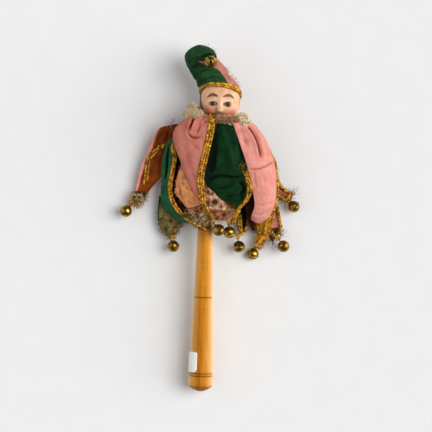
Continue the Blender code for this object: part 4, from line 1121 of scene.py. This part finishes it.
LEAVES = (
    Leaf("front", SHADED_GREEN, PEACH,
         left=((212, 126, 55.5), (207.5, 138, 55), (204, 150, 52.5), (201.5, 163, 48.5), (203, 175, 45),
               (209, 187, 42), (219, 197.5, 39), (231, 206, 35.5)),
         right=((235, 126, 54), (242, 141, 52), (247, 158, 47.5), (249.5, 173, 43.5), (251, 186, 41.5),
                (248.5, 196, 39.5), (243.5, 203, 37), (238, 208, 34.5)),
         bulge=(1.5, 2.5, 3.5, 4.0, 4.5, 5.0, 5.0, 2.0), gathers=1.2,
         creases=((((216, 147), (213.5, 157), (212, 170)), 1.0, 2.4),
                  (((236, 133), (240, 150), (243, 166)), 1.0, 1.8),
                  (((208, 180), (221, 176), (234, 177.5), (246, 174)), 2.0, 2.2),
                  (((214, 189), (227, 187), (244, 182.5)), 1.7, 1.4),
                  (((223, 197), (234, 195.5), (244, 191)), 1.6, 1.3),
                  (((238, 178), (243.5, 188), (240, 200)), 2.2, 2.2),
                  (((223, 131), (229, 150), (235, 171)), -1.6, 2.4)),
         trims=(Trim(((242, 169.5), (244.3, 175), (246.4, 181), (247.8, 187), (247.2, 195),
                      (243.4, 201.8), (238.4, 207)), 6.4, 1,
                     follow=((236.5, 211.5, 34), (233, 217, 31.5), (231, 223, 27.5)), to_bell=True),),
         shades=((((213, 128), (211.5, 146), (211, 162), (213, 178)), 2.0, 6.5),
                 (((239, 128), (243, 147), (246.5, 164)), 1.8, 3.2),
                 (((216, 123.5), (226, 123), (237, 124.5)), 1.0, 2.4))),
    Leaf("front_left", SHADED_PINK, PEACH,
         left=((190, 117.5, 48), (178, 124.5, 44), (173, 135, 40), (175, 147, 38.5), (181, 162, 41),
               (186.5, 178, 43), (193.5, 191.5, 43.5), (200, 202, 43)),
         right=((214, 117, 58), (213.5, 130, 58.5), (209.8, 147, 56.5), (206.3, 161, 53.5),
                (203.6, 173, 50.5), (203, 184, 48), (204.5, 195, 45.5), (205, 204, 43)),
         bulge=(2.0, 4.0, 5.5, 5.0, 4.0, 3.0, 2.0, 0.6), gathers=2.2,
         creases=((((193, 118.5), (191.5, 124), (189, 129.5)), 4.2, 1.1),
                  (((187, 130), (190, 136), (195, 138), (201.5, 136.5)), 1.6, 1.1),
                  (((204, 122.5), (208, 121.5)), 2.0, 0.9),
                  (((182, 140), (188, 160), (195, 182)), 0.7, 2.4),
                  (((200, 126), (196.5, 133)), 1.0, 1.0),
                  (((193, 146), (199, 150)), 0.6, 1.2)),
         trims=(Trim(Edge("right", 0.10, 1.0, 0.3), 6.4, 1),
                Trim(Edge("right", 0.94, 1.0, 1.0), 1.4, 1, follow=((208, 210, 40.5), (212, 216.5, 39.5)),
                     to_bell=True),
                Trim(Edge("left", 0.32, 0.95, 2.2), 2.4, -1))),
    Leaf("left", GREEN, PEACH,
         left=((170, 140, 29), (165, 151, 24), (163, 165, 19), (161.5, 180, 15.5), (160.3, 194, 13.5),
               (161.5, 205, 13.5), (168, 213, 15), (176, 219, 19), (184, 223, 23)),
         right=((177, 143, 34), (176.5, 157, 31.5), (174, 171, 29), (171.8, 183, 27), (172.3, 195, 25.5),
                (177, 206, 24.5), (183.5, 214, 25.5), (190, 219.5, 28), (195, 223, 31)),
         bulge=(1.5, 2.5, 2.5, 2.5, 2.5, 2.5, 2.0, 1.5, 1.0), gathers=0.8,
         creases=((((171, 150), (170, 170), (167.5, 190), (169.5, 204), (177, 213)), -0.7, 1.8),
                  (((168, 145.5), (166.5, 158), (166, 170), (164.5, 179)), 3.0, 1.5),
                  (((165, 186), (170, 188)), 0.6, 1.0),
                  (((163, 199), (170, 202)), 0.7, 1.0)),
         trims=(Trim(Edge("right", 0.10, 1.0, 0.3), 4.4, 1,
                     follow=((200, 226.5, 33), (206, 229.5, 33.5))),
                Trim((), 2.2, 1, follow=((175.3, 228.5, 13.2), (174.6, 232.5, 11.9), (173.9, 237, 10.6)),
                     to_bell=True),
                Trim(Edge("left", 0.18, 0.95, 2.0), 2.2, -1))),
    Leaf("back_left", PINK, SHADED_LINING,
         left=((177, 127, 28), (178, 139, 24), (172, 152, 18.5), (165.5, 165, 14.5), (161, 177, 11.5),
               (153.5, 186, 9.5), (145, 196, 8.5), (133, 205, 8.2)),
         right=((165, 125.5, 25), (155.5, 133, 19), (149.5, 146, 16), (143.5, 160, 13.5),
                (139, 173, 11.5), (136.5, 186, 10), (133, 195, 8.8), (128.5, 202.5, 8.2)),
         bulge=(1.5, 2.5, 3.0, 3.0, 2.5, 2.0, 1.0, 0.4), gathers=1.4,
         creases=((((160, 133), (157, 150), (151, 170), (146, 184)), 1.0, 2.0),
                  (((165, 150), (158, 168)), 0.8, 1.4),
                  (((163.5, 130), (159, 136), (156.5, 144)), -1.4, 1.2),
                  (((169, 129), (167, 140)), 1.2, 1.2)),
         trims=(Trim(((168, 143.5), (160, 146), (154, 150), (148.5, 156), (146, 165), (144.5, 176),
                      (143, 187)), 4.4, -1),
                Trim(Edge("right", 0.90, 1.0, 1.2), 1.8, -1, to_bell=True))),
    Leaf("back", GREEN, DARK_SHADED_GREEN,
         left=((232, 128, 21), (231, 148, 9), (233, 168, 5), (242, 190, 5), (248, 205, 6), (249, 217, 7),
               (247, 228, 8), (243, 235, 8)),
         right=((212, 128, 21), (207, 148, 8), (210, 168, 4), (222, 190, 4.5), (233, 205, 5.5),
                (237.5, 216, 7), (238, 228, 8), (240, 235, 8)),
         bulge=(1.0, 1.0, 1.0, 1.0, 1.0, 0.8, 0.5, 0.3), gathers=0.8,
         trims=(Trim(Edge("left", 0.3, 1.0, 0.4), 2.6, -1, to_bell=True),
                Trim(Edge("right", 0.3, 1.0, 0.4), 4.8, -1, to_bell=True))),
    Leaf("back_right", PINK, PINK,
         left=((246, 130, 24), (257, 148, 13), (263, 168, 9), (271, 188, 8.5), (277, 203, 8.5),
               (280, 218, 8.5), (281.5, 230, 8.5)),
         right=((236, 133, 20), (240, 150, 10), (243, 170, 6), (249, 190, 6), (256, 208, 7),
                (263, 223, 7.5), (272, 235, 8)),
         bulge=(1.0, 1.0, 1.0, 1.0, 1.0, 0.8, 0.3), gathers=0.8,
         creases=((((268, 205), (274, 222)), 0.9, 1.0),),
         trims=(Trim(Edge("left", 0.3, 1.0, 0.4), 2.8, -1, to_bell=True),
                Trim(Edge("right", 0.3, 1.0, 0.4), 3.0, -1, to_bell=True),
                Trim(((275, 210), (272.5, 219), (270.5, 226), (273, 233)), 2.6, -1))),
    Leaf("right", GREEN, SHADED_LINING,
         left=((252, 127, 28), (262, 143, 23), (269, 158, 19), (275, 171, 16), (282, 186, 12),
               (291.5, 193.5, 9)),
         right=((244, 131, 30), (249, 152, 22), (256, 166, 18.5), (264, 179, 15), (276, 195, 11),
                (287.5, 201.5, 8.5)),
         bulge=(1.0, 1.2, 1.2, 1.2, 1.0, 0.4), gathers=0.8,
         trims=(Trim(Edge("left", 0.3, 1.0, 0.4), 2.8, -1, to_bell=True),
                Trim(Edge("right", 0.3, 1.0, 0.4), 2.6, -1, to_bell=True))),
    Leaf("front_right", PINK, PEACH,
         left=((231.5, 122.5, 55), (236.5, 133.5, 55), (242, 150, 52), (246.8, 165, 48), (250, 180, 44),
               (253, 194, 40.5), (254.5, 205, 36.5), (252, 214, 30), (250.5, 219, 23)),
         right=((249, 121.5, 44), (262, 133, 36), (270, 148, 30), (274.6, 164, 26.5), (276.6, 180, 24),
                (276.4, 193, 22), (274.3, 206, 19.5), (270, 215.5, 16.5), (263, 221.5, 14)),
         bulge=(3.0, 5.5, 7.5, 8.5, 9.0, 9.0, 8.5, 7.0, 4.0), gathers=1.2,
         creases=((((247.5, 125.5), (252, 132), (256.5, 140.5), (259.5, 150), (261, 157)), 5.0, 1.25),
                  (((238, 127), (244.5, 138), (250.5, 152)), 0.85, 4.0),
                  (((248.5, 169.7), (256, 169.3), (265, 166.8), (274, 161)), 1.9, 0.9),
                  (((253.5, 171), (256, 187)), 0.5, 1.0),
                  (((263, 171), (265, 190)), 0.4, 1.2),
                  (((256, 205.5), (264, 205.5), (273, 202)), 0.6, 1.0),
                  (((253, 214), (260, 215), (268, 211)), 0.8, 0.9)),
         trims=(Trim(Edge("right", 0.42, 1.0, -3.2), 4.8, 1,
                     follow=((265, 227, 13.5), (262.5, 236, 11.5), (257, 244, 10.5)), to_bell=True),
                Trim(Edge("left", 0.62, 0.92, 2.2), 2.4, -1))),
)
SEAM_HALF = 0.0034
CLOTH = 0.0007
LEAF_ROWS = 130
LEAF_COLUMNS = 64
BRAID_STRIP = 2.4
BRAID_LOOP = ((0.0034, -0.0008), (0.0016, -0.0016), (0.0, -0.0008), (0.0, 0.0008), (0.0016, 0.0016),
              (0.0034, 0.0008))
HAIR_POINTS = 160
HAIR_GAP = 0.0005


def loop_of(place):
    """A bell's loop: its place, the axis that it swings on and the way up to its shank."""
    swing = JOINTS[f"bell_{place}_swing"]
    up = JOINTS[f"pellet_{place}_slide"]["axis"]
    return Vector(swing["pos_m"]), Vector(swing["axis"]).normalized(), Vector(up)


def lofted(left, right, rows, columns, bulge):
    """A sheet between two edge lines, bulged out between them by millimetres along its length."""
    left_line, right_line = line_through(left, rows), line_through(right, rows)
    u = np.linspace(-1.0, 1.0, columns)[None, :, None]
    sheet = left_line[:, None, :] * (1 - u) / 2 + right_line[:, None, :] * (1 + u) / 2
    out = unit(np.cross(np.gradient((left_line + right_line) / 2, axis=0), right_line - left_line))
    swell = along_knots(bulge, rows)[:, None, None] * MM * (1.0 - np.abs(u) ** 2.4)
    return sheet + out[:, None, :] * swell


def leaf_rows(leaf):
    """The outer face of a petal, from its seam on the neck tape to its end, and how much painted shade each point
    has.
    """
    hinge = Vector(JOINTS[f"petal_{leaf.place}_lift"]["pos_m"])
    left = [seen(*spot) for spot in leaf.left]
    right = [seen(*spot) for spot in leaf.right]
    aside = (right[0] - left[0]).normalized() * SEAM_HALF
    rows = lofted([hinge - aside, *left], [hinge + aside, *right], LEAF_ROWS, LEAF_COLUMNS,
                  (0.3, *leaf.bulge))
    u = np.linspace(-1.0, 1.0, LEAF_COLUMNS)[None, :]
    v = np.linspace(0.0, 1.0, LEAF_ROWS)[:, None]
    out = face_normals(rows)
    seed = PLACES.index(leaf.place)
    press = creased(rows, leaf.creases) * np.sign(out[..., 2].mean())
    press += leaf.gathers * MM * np.exp(-v / 0.16) * np.cos(9.0 * u + 0.8)
    press += 0.00045 * rough(rows, 0.009, seed) + 0.00018 * rough(rows, 0.0032, seed + 20)
    wide = np.linalg.norm(rows[:, -1] - rows[:, 0], axis=1)[:, None] / 2
    press *= ramp(6.0 * v) * ramp(wide / 0.004)
    # Painted shade: in creases, along the shade lines, and near the seam under the head
    shade = np.maximum(0.0, -creased(rows, leaf.shades) / MM)
    fold = -press / FOLD_DEPTH - 0.3 + 0.5 * np.exp(-v / 0.13) + shade
    return rows + out * press[..., None], np.clip(fold, 0.0, 0.9)


def hang(piece):
    """Bakes the transform of a piece of a petal into its mesh."""
    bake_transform(piece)


def spread(sheet, made, parts, on):
    """Does nothing with the sheet, its piece or its trims."""


def turned_edge(u, v):
    """Finishes of a petal whose outer cloth is turned over its right edge, onto the lining."""
    return np.zeros_like(u), np.where(u > 0.68 + 0.9 * ramp(0.62 - v), 0, 1)


def petals():
    for leaf in LEAVES:
        rows, fold = leaf_rows(leaf)
        body = f"petal_{leaf.place}"
        pick = turned_edge if leaf.place == "back_left" else None
        made = cloth(f"{body}_cloth", rows, [leaf.outer, leaf.lining], None, CLOTH, pick, fold)
        hang(made)
        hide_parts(body)
        spread(rows, made, trims(leaf, rows, body), "torso")


def edge_strand(edge, rows, out, aside):
    """A line on a sheet along a stretch of its edge, and the cloth's way out there.

    It lies `aside` millimetres further in than the edge's own inset.
    """
    picked = slice(int(edge.start * LEAF_ROWS), int(edge.end * (LEAF_ROWS - 1)) + 1, 4)
    turn = 1 if edge.side == "left" else -1
    sheet, ways = rows[picked, ::turn], out[picked, ::turn]
    far = run_along(sheet, 1)
    lines = np.arange(len(sheet))
    inset = np.full(len(sheet), edge.inset + aside)
    if edge.inset < 0:
        inset += ramp(1.0 - lines / 4.0) * 5.0
    inset *= MM
    column = np.argmin(np.abs(far - inset[:, None]), axis=1)
    points = np.stack([[np.interp(inset[i], far[i], sheet[i, :, k]) for k in range(3)] for i in lines])
    points += unit(sheet[:, 0] - sheet[:, 2]) * np.maximum(0.0, -inset)[:, None]
    return points, ways[lines, column]


def spot_strand(spots, rows, out, aside):
    """The line on a sheet that shows along places in the picture, `aside` millimetres to their left."""
    line = line_through(spots, TRIM_POINTS)
    ahead = unit(np.gradient(line, axis=0))
    line = line + np.stack([ahead[:, 1], -ahead[:, 0]], axis=1) * (aside * MM / PIXEL)
    right, down = picture_of(rows)
    found = [int(np.argmin((right - x) ** 2 + (down - y) ** 2)) for x, y in line]
    return rows.reshape(-1, 3)[found], out.reshape(-1, 3)[found]


def trims(leaf, rows, body):
    """The gold braid along a petal's edges, with its stray threads, and the loop that the bell hangs on."""
    out = face_normals(rows)
    loop, swing, up = loop_of(leaf.place)
    made = []
    for number, trim in enumerate(leaf.trims):
        count = max(1, round(trim.wide / BRAID_STRIP))
        thick = trim.wide / count * 1.15 * MM
        over, under = 0.30 * thick, -CLOTH - 0.45 * thick
        seed = 7 * number + PLACES.index(leaf.place)
        for strip in range(count):
            line = np.zeros((0, 3))
            if trim.line:
                lay = edge_strand if isinstance(trim.line, Edge) else spot_strand
                points, ways = lay(trim.line, rows, out, strip * trim.wide / count)
                lift = np.full(len(points), over if trim.face > 0 else under)
                if isinstance(trim.line, Edge) and trim.line.inset < 0:
                    lift = under + (over - under) * ramp(np.arange(len(points)) / 4.0)
                line = points + ways * (lift + 0.0003 * rough(points, 0.003, seed + strip))[:, None]
                if not isinstance(trim.line, Edge):
                    line = line[strip % 2 + 1:len(line) if trim.to_bell else -1 - 2 * (strip % 2)]
            beside = np.array(swing) * (strip * 0.0012)
            line = [*line, *[np.array(seen(*spot)) + beside for spot in trim.follow]]
            if trim.to_bell:
                side = 1 if number % 2 else -1
                line.append(np.array(loop + up * (0.0030 + 0.0006 * strip)
                                     + swing * side * (0.0007 + 0.0008 * strip)))
            made.append(cord(f"braid_{leaf.place}_{number}_{strip}", line, body, thick))
            if strip == 0:
                line = line_through(line, HAIR_POINTS)
                away = 0.8 * out[LEAF_ROWS // 2, LEAF_COLUMNS // 2] * trim.face
                ways = np.tile(away, (HAIR_POINTS, 1))
                made.append(fray(f"braid_{leaf.place}_{number}_hairs", line, ways, body, OLD_GOLD,
                                 int(length_of(line) / HAIR_GAP), short=0.0012, long=0.0030,
                                 thread=0.00012, spread=1.1))
    ring = [loop + up * rise + swing * aside for rise, aside in BRAID_LOOP]
    made.append(cord(f"braid_{leaf.place}_loop", ring, body, thick=0.0011))
    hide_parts(f"braid_{leaf.place}")
    return made


# Linings that hang out, worn lace at the petals' ends and dark sheets of painted shadow in gaps: edges,
# bulge, how lumpy in millimetres, frayed threads, and dark holes worn in them: (right, down, breadth) in the
# picture
Flap = namedtuple("Flap", "place name look left right bulge lumps hairs hair_look holes", defaults=[()])

FLAPS = (
    Flap("front_left", "lining_flap", PEACH,
         left=((181, 164, 37), (177.5, 176, 33), (174.7, 190, 30), (179, 198.5, 30), (188, 208.5, 32)),
         right=((185, 170, 41), (189, 180, 41.5), (194, 190, 41.5), (199, 198, 41), (201.5, 204, 40)),
         bulge=(0.5, 1.5, 2.5, 2.5, 1.0), lumps=1.7, hairs=40, hair_look=PALE_THREAD),
    # A dark sheet of painted shadow in the gap beside the left petal's braid
    Flap("left", "dark_lining", SHADOW_FILLER,
         left=((174.5, 146, 26), (173, 162, 23), (170.5, 180, 20), (172, 196, 19.5), (178.5, 208, 20),
               (188, 217, 24)),
         right=((189, 146, 33), (191, 162, 30), (193, 180, 28.5), (197, 196, 29), (203, 208, 30),
                (206, 217, 31)),
         bulge=(0.3, 0.5, 0.5, 0.5, 0.5, 0.3), lumps=0.6, hairs=30, hair_look=DARK_THREAD),
    Flap("left", "lace_end", OLIVE_LACE,
         left=((160.8, 203, 11.5), (159.3, 214, 10.5), (160, 225, 9.5), (164, 233, 9), (168.5, 237, 9)),
         right=((183, 221, 15), (180.5, 226, 12.5), (178, 230.5, 11), (175.8, 234, 10),
                (174, 236.5, 9.5)),
         bulge=(0.5, 1.5, 1.5, 1.0, 0.3), lumps=0.9, hairs=150, hair_look=OLIVE_THREAD,
         holes=((166, 209, 2.2), (161.5, 219, 1.6), (171, 221, 1.8), (166, 229, 1.8), (175, 228, 1.6))),
    Flap("left", "green_border", SHADED_GREEN,
         left=((159.2, 196, 12), (157.9, 208, 10.5), (158, 220, 9.5), (161, 230, 8.5)),
         right=((170, 199, 11), (169.5, 210, 9.5), (169, 222, 8.5), (169.5, 232, 8)),
         bulge=(0.3, 0.6, 0.6, 0.3), lumps=0.4, hairs=40, hair_look=DARK_THREAD),
    Flap("front_right", "lace_end", GOLD_LACE,
         left=((255.5, 218, 17), (257.5, 229, 12.5), (256, 239, 10), (256.5, 246, 9)),
         right=((271, 217, 13.5), (269, 228, 11.5), (267, 239, 10), (261.5, 247, 9)),
         bulge=(0.5, 1.2, 1.2, 0.3), lumps=0.9, hairs=190, hair_look=GOLD,
         holes=((257.5, 234, 2.6), (266, 226, 1.6), (262, 240, 1.8), (258, 223, 1.4))),
    # A dark sheet of painted shadow in the gap beside the front right petal's lace
    Flap("front_right", "dark_fold", SHADOW_FILLER,
         left=((245, 183, 31), (246.5, 200, 26), (247, 213, 20), (248.5, 222, 15), (251.5, 230, 11.5)),
         right=((256, 183, 36), (258, 200, 31), (257, 213, 25), (258.5, 223, 15.5), (260, 232, 11)),
         bulge=(0.3, 0.5, 0.5, 0.5, 0.3), lumps=0.6, hairs=60, hair_look=DARK_THREAD),
    Flap("front", "cream_hem", CREAM_LACE,
         left=((203.5, 178, 41), (204.5, 190, 39), (204.5, 200, 37), (207, 209.5, 35)),
         right=((209, 184, 42), (219, 197, 39), (228, 204, 36.5), (234, 210.5, 34)),
         bulge=(0.5, 2.0, 2.0, 0.5), lumps=1.3, hairs=200, hair_look=TAN_THREAD,
         holes=((214.8, 202.3, 3.6), (207.5, 192, 1.8), (208, 204, 1.6), (221, 207, 1.6),
                (212, 194, 1.2))),
    Flap("front", "brown_hem", BROWN_LACE,
         left=((189, 207, 31.5), (192, 213, 32), (198, 219, 32.5)),
         right=((232, 209, 33.5), (230.5, 215.5, 32.5), (224.5, 220, 31.5)),
         bulge=(0.5, 1.5, 0.5), lumps=1.2, hairs=200, hair_look=TAN_THREAD,
         holes=((203, 210.5, 2.6), (197, 212, 2.2), (224, 215, 2.4), (217, 219, 2.0), (208.5, 211, 2.0))),
    Flap("left", "mixed_hem", MIXED_LACE,
         left=((185, 212, 29.5), (189.5, 218.5, 31), (197, 226.5, 32.5)),
         right=((208, 213, 35.5), (209.5, 220.5, 35), (209.5, 228, 33.5)),
         bulge=(0.5, 1.5, 0.5), lumps=1.2, hairs=240, hair_look=OLD_GOLD,
         holes=((197, 217, 1.4), (208, 227.5, 2.2), (190, 214, 1.6))),
    Flap("back_left", "lace_tip", MIXED_LACE,
         left=((134.5, 191, 12.5), (132, 198, 11), (130, 203, 10)),
         right=((147.5, 192.5, 12), (144.5, 201, 10.5), (138.5, 206.5, 9.5)),
         bulge=(0.5, 1.5, 0.5), lumps=1.1, hairs=160, hair_look=TAN_THREAD,
         holes=((136, 191.5, 1.6), (140, 192, 1.8), (144.5, 194, 2.4))),
    Flap("right", "brown_lace", BROWN_LACE,
         left=((280, 187, 13), (287, 191.5, 11.5), (293.5, 192.5, 10.5)),
         right=((276, 195.5, 12.5), (283, 201.5, 10.5), (290, 203.5, 9.5)),
         bulge=(0.3, 0.8, 0.3), lumps=0.8, hairs=60, hair_look=DARK_THREAD),
    Flap("back_right", "dark_lace", DARK_LACE,
         left=((268, 229, 10), (269, 236, 9), (272, 241, 8.5)),
         right=((280, 227, 10.5), (281, 232.5, 9.5), (279, 236.5, 9)),
         bulge=(0.5, 1.0, 0.3), lumps=0.9, hairs=80, hair_look=DARK_THREAD),
)
FLAP_ROWS = 48
FLAP_COLUMNS = 40


def flaps():
    """Linings that hang out, the frayed lace at the petals' ends, and dark sheets of painted shadow in gaps."""
    for flap in FLAPS:
        body = f"petal_{flap.place}"
        name = f"{body}_{flap.name}"
        edges = [[seen(*spot) for spot in edge] for edge in (flap.left, flap.right)]
        rows = lofted(*edges, FLAP_ROWS, FLAP_COLUMNS, flap.bulge)
        seed = len(name)
        press = flap.lumps * MM * (0.8 * rough(rows, 0.006, seed) + 0.5 * rough(rows, 0.0022, seed + 7))
        # Painted shade in the hollows of the lumps, and dark worn holes
        fold = np.clip(-press / 0.0016, 0.0, 0.5)
        right, down = picture_of(rows)
        for x, y, broad in flap.holes:
            worn = hump(right, down, x, y, broad, broad)
            fold = np.maximum(fold, np.clip(1.3 * worn, 0.0, 0.96))
            press -= 0.0008 * worn
        rows = rows + face_normals(rows) * press[..., None]
        made = cloth(name, rows, [flap.look, flap.look], body, thick=0.0005, fold=fold)
        rim = np.concatenate([rows[:, 0], rows[-1], rows[::-1, -1]])
        ways = unit(rim - rows.mean(axis=(0, 1)))
        parts = [fray(f"{name}_hairs", rim, ways, body, flap.hair_look, flap.hairs, short=0.0015,
                      long=0.0042, thread=0.00014, spread=0.8)]
        if flap.look in (OLIVE_LACE, GOLD_LACE, DARK_LACE):
            over = (rows + face_normals(rows) * 0.0005)[::3, ::3]
            parts.append(net(f"{name}_net", over, body, flap.hair_look, thread=0.00013))
        spread(rows, made, parts, body)


def strays():
    """Tufts of pulled threads where the cloth has worn.

    Each has its petal, spot, way out, finish, count, shortest and longest thread, and a thread's radius.
    """
    tufts = (("back_left", (170, 125, 30), (-0.1, 1.0, 0.5), LILAC_THREAD, 14, 0.004, 0.010, 0.00020),
             ("right", (291, 192, 11), (1.0, 0.5, 0.5), DARK_THREAD, 9, 0.004, 0.010, 0.00011),
             ("back_right", (281, 234, 10), (0.8, 0.2, 0.6), LILAC_THREAD, 9, 0.003, 0.008, 0.00011),
             ("back_right", (272, 242, 8), (-0.1, -1.0, 0.3), LILAC_THREAD, 14, 0.003, 0.009, 0.00013),
             ("front_right", (261, 244, 10), (0.4, -1.0, 0.3), LILAC_THREAD, 12, 0.003, 0.007, 0.00013),
             ("front", (231, 206, 37), (0.4, 0.2, 1.0), OLD_GOLD, 60, 0.002, 0.006, 0.00011),
             ("front", (241.5, 166, 49), (0.4, 0.3, 1.0), GOLD, 46, 0.0012, 0.0032, 0.00011),
             ("front", (244, 171.5, 48), (0.4, 0.3, 1.0), OLD_GOLD, 46, 0.0012, 0.0032, 0.00011))
    for number, (place, spot, way, look, count, short, long, thread) in enumerate(tufts):
        middle = np.array(seen(*spot))
        turn = np.linspace(0.0, 2 * math.pi, count)
        ring = np.stack([np.cos(turn), np.sin(turn), np.zeros(count)], axis=1)
        points = middle + ring * (0.0016 + 0.0012 * np.sin(7 * turn))[:, None]
        ways = np.tile(unit(np.array(way)), (count, 1))
        fray(f"tuft_{place}_{number}", points, ways, f"petal_{place}", look, count, short, long, thread,
             spread=0.9)


# Bells


def bell_shape():
    """A brass crotal: a shell with a raised seam, a slit that ends in round holes, and a shank ring."""
    wall, seam, seam_half, steps = 0.5, 0.42, 0.55, 48
    angles = np.linspace(0.0, math.pi, 41)
    up = BELL_R * np.cos(angles)
    outer = np.stack([BELL_R * np.sin(angles) + seam * near(up / seam_half), up], axis=1) * MM
    outer[[0, -1], 0] = 0.0
    angles = np.linspace(math.pi, 0.0, 25)
    inner = (BELL_R - wall) * MM * np.stack([np.sin(angles), np.cos(angles)], axis=1)
    points = np.vstack([turned_points(profile, steps).reshape(-1, 3) for profile in (outer, inner)])
    faces = grid_faces(len(outer), steps, True) + grid_faces(len(inner), steps, True, len(outer) * steps)
    mesh = bpy.data.meshes.new("bell_shape")
    mesh.from_pydata(points.tolist(), [], faces)
    shape = bmesh.new()
    shape.from_mesh(mesh)
    bmesh.ops.remove_doubles(shape, verts=shape.verts, dist=1e-6)
    bmesh.ops.dissolve_degenerate(shape, edges=shape.edges, dist=1e-7)
    bmesh.ops.recalc_face_normals(shape, faces=shape.faces)
    inside = [face for face in shape.faces if face.calc_center_median().length < (BELL_R - wall / 2) * MM]
    if inside[0].normal.dot(inside[0].calc_center_median()) > 0:
        bmesh.ops.reverse_faces(shape, faces=inside)
    shape.to_mesh(mesh)
    shape.free()
    body = shown("bell_shape", mesh, None)
    shape = bmesh.new()
    bmesh.ops.create_cube(shape, size=1.0, matrix=Matrix.Translation((0.0, 0.0, -BELL_R * MM * 1.1))
                          @ Matrix.Diagonal((7.0 * MM, 1.1 * MM, BELL_R * MM, 1.0)))
    for side in (-1, 1):
        bmesh.ops.create_cone(shape, cap_ends=True, segments=20, radius1=1.25 * MM, radius2=1.25 * MM,
                              depth=BELL_R * MM,
                              matrix=Matrix.Translation((side * 3.5 * MM, 0.0, -BELL_R * MM * 0.95)))
    slit_mesh = bpy.data.meshes.new("slit")
    shape.to_mesh(slit_mesh)
    shape.free()
    slit = shown("slit", slit_mesh, None)
    cut = body.modifiers.new("slit", "BOOLEAN")
    cut.object = slit
    cut.solver = "EXACT"
    cut.use_self = True
    made = bpy.data.meshes.new_from_object(body.evaluated_get(bpy.context.evaluated_depsgraph_get()))
    for used in (body, slit):
        bpy.data.objects.remove(used)
    around, sides = 28, 10
    turns, bend = full_turn(around)[:, None], full_turn(sides)[None, :]
    big, small = 1.5 * MM, 0.42 * MM
    reach = big + small * np.cos(bend)
    ring = np.stack([np.broadcast_to(small * np.sin(bend), (around, sides)), reach * np.sin(turns),
                     reach * np.cos(turns) + (BELL_R + 1.3) * MM], axis=2)
    shape = bmesh.new()
    shape.from_mesh(made)
    spots = [[shape.verts.new(point) for point in row] for row in ring]
    for row, following in zip(spots, spots[1:] + spots[:1]):
        for j in range(sides):
            k = (j + 1) % sides
            shape.faces.new((row[j], following[j], following[k], row[k]))
    shape.to_mesh(made)
    shape.free()
    made.materials.clear()
    made.materials.append(BRASS)
    return made


def bells():
    shape = bell_shape()
    for place in (*PLACES, "cap"):
        loop, swing, up = loop_of(place)
        axes = Matrix((swing, up.cross(swing), up)).transposed().to_4x4()
        mesh = shape.copy()
        mesh.transform(Matrix.Translation(loop - up * (BELL_CENTRE * MM)) @ axes)
        mesh.shade_smooth()
        mesh.set_sharp_from_angle(angle=math.radians(40.0))
        made = shown(f"bell_{place}_shell", mesh, f"bell_{place}")
        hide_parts(f"bell_{place}_crown", f"bell_{place}_cup")


def inner_pieces():
    """Finishes for the solids that stay: core, dowel, tape, thread and pellets."""
    looks = {"torso": CORE_WOOD, "neck_dowel": CORE_WOOD, "neck_band": GOLD, "cap_bell_thread": GOLD}
    looks.update({f"bell_{place}_pellet": IRON for place in (*PLACES, "cap")})
    for name, look in looks.items():
        mesh = frame["nodes"][name].data
        mesh.materials.clear()
        mesh.materials.append(look)


# Stage


def stage():
    made = Finish("pale_floor", roughness=0.9, specular=0.1)
    grain = made.noise(made.place(), 40.0, 2.0)
    look = made.done(made.mix(made.between(grain, 0.4, 0.6), (0.80, 0.80, 0.80), (0.81, 0.81, 0.81)))
    mesh = bpy.data.meshes.new("floor")
    mesh.from_pydata([(-4, -4, 0), (4, -4, 0), (4, 4, 0), (-4, 4, 0)], [], [(0, 1, 2, 3)])
    mesh.materials.append(look)
    floor = shown("floor", mesh, None)
    world = bpy.data.worlds.new("soft_room")
    world.use_nodes = True
    sky = world.node_tree.nodes["Background"].inputs
    sky["Color"].default_value = (1.0, 1.0, 1.0, 1.0)
    sky["Strength"].default_value = 0.12
    bpy.context.scene.world = world
    lights = (("high_window", 2.0, 0.7, (0.75, 0.2, 1.3)), ("low_window", 1.6, 0.9, (1.0, 0.1, 0.5)),
              ("far_wall", 0.85, 1.3, (-0.9, 0.0, 0.8)))
    for name, energy, angle, spot in lights:
        light = bpy.data.lights.new(name, "SUN")
        light.energy = energy
        light.angle = angle
        lamp = shown(name, light, None)
        lamp.location = spot
        lamp.rotation_euler = (-lamp.location).to_track_quat("-Z", "Y").to_euler()
    camera = bpy.data.cameras.new("above")
    camera.sensor_width = 36.0
    camera.lens = camera.sensor_width * VIEW_HEIGHT / (PICTURE * PIXEL)
    camera.clip_end = 20.0
    eye = shown("above", camera, None)
    eye.location = VIEW_MIDDLE + Vector((0.0, 0.0, VIEW_HEIGHT))
    eye.rotation_euler = (0.0, 0.0, VIEW_ROLL)
    bpy.context.scene.camera = eye
    bpy.context.scene.view_settings.view_transform = "Standard"


stage()
stick()
label()
head()
eyes()
cap()
ruff()
petals()
flaps()
strays()
bells()
inner_pieces()
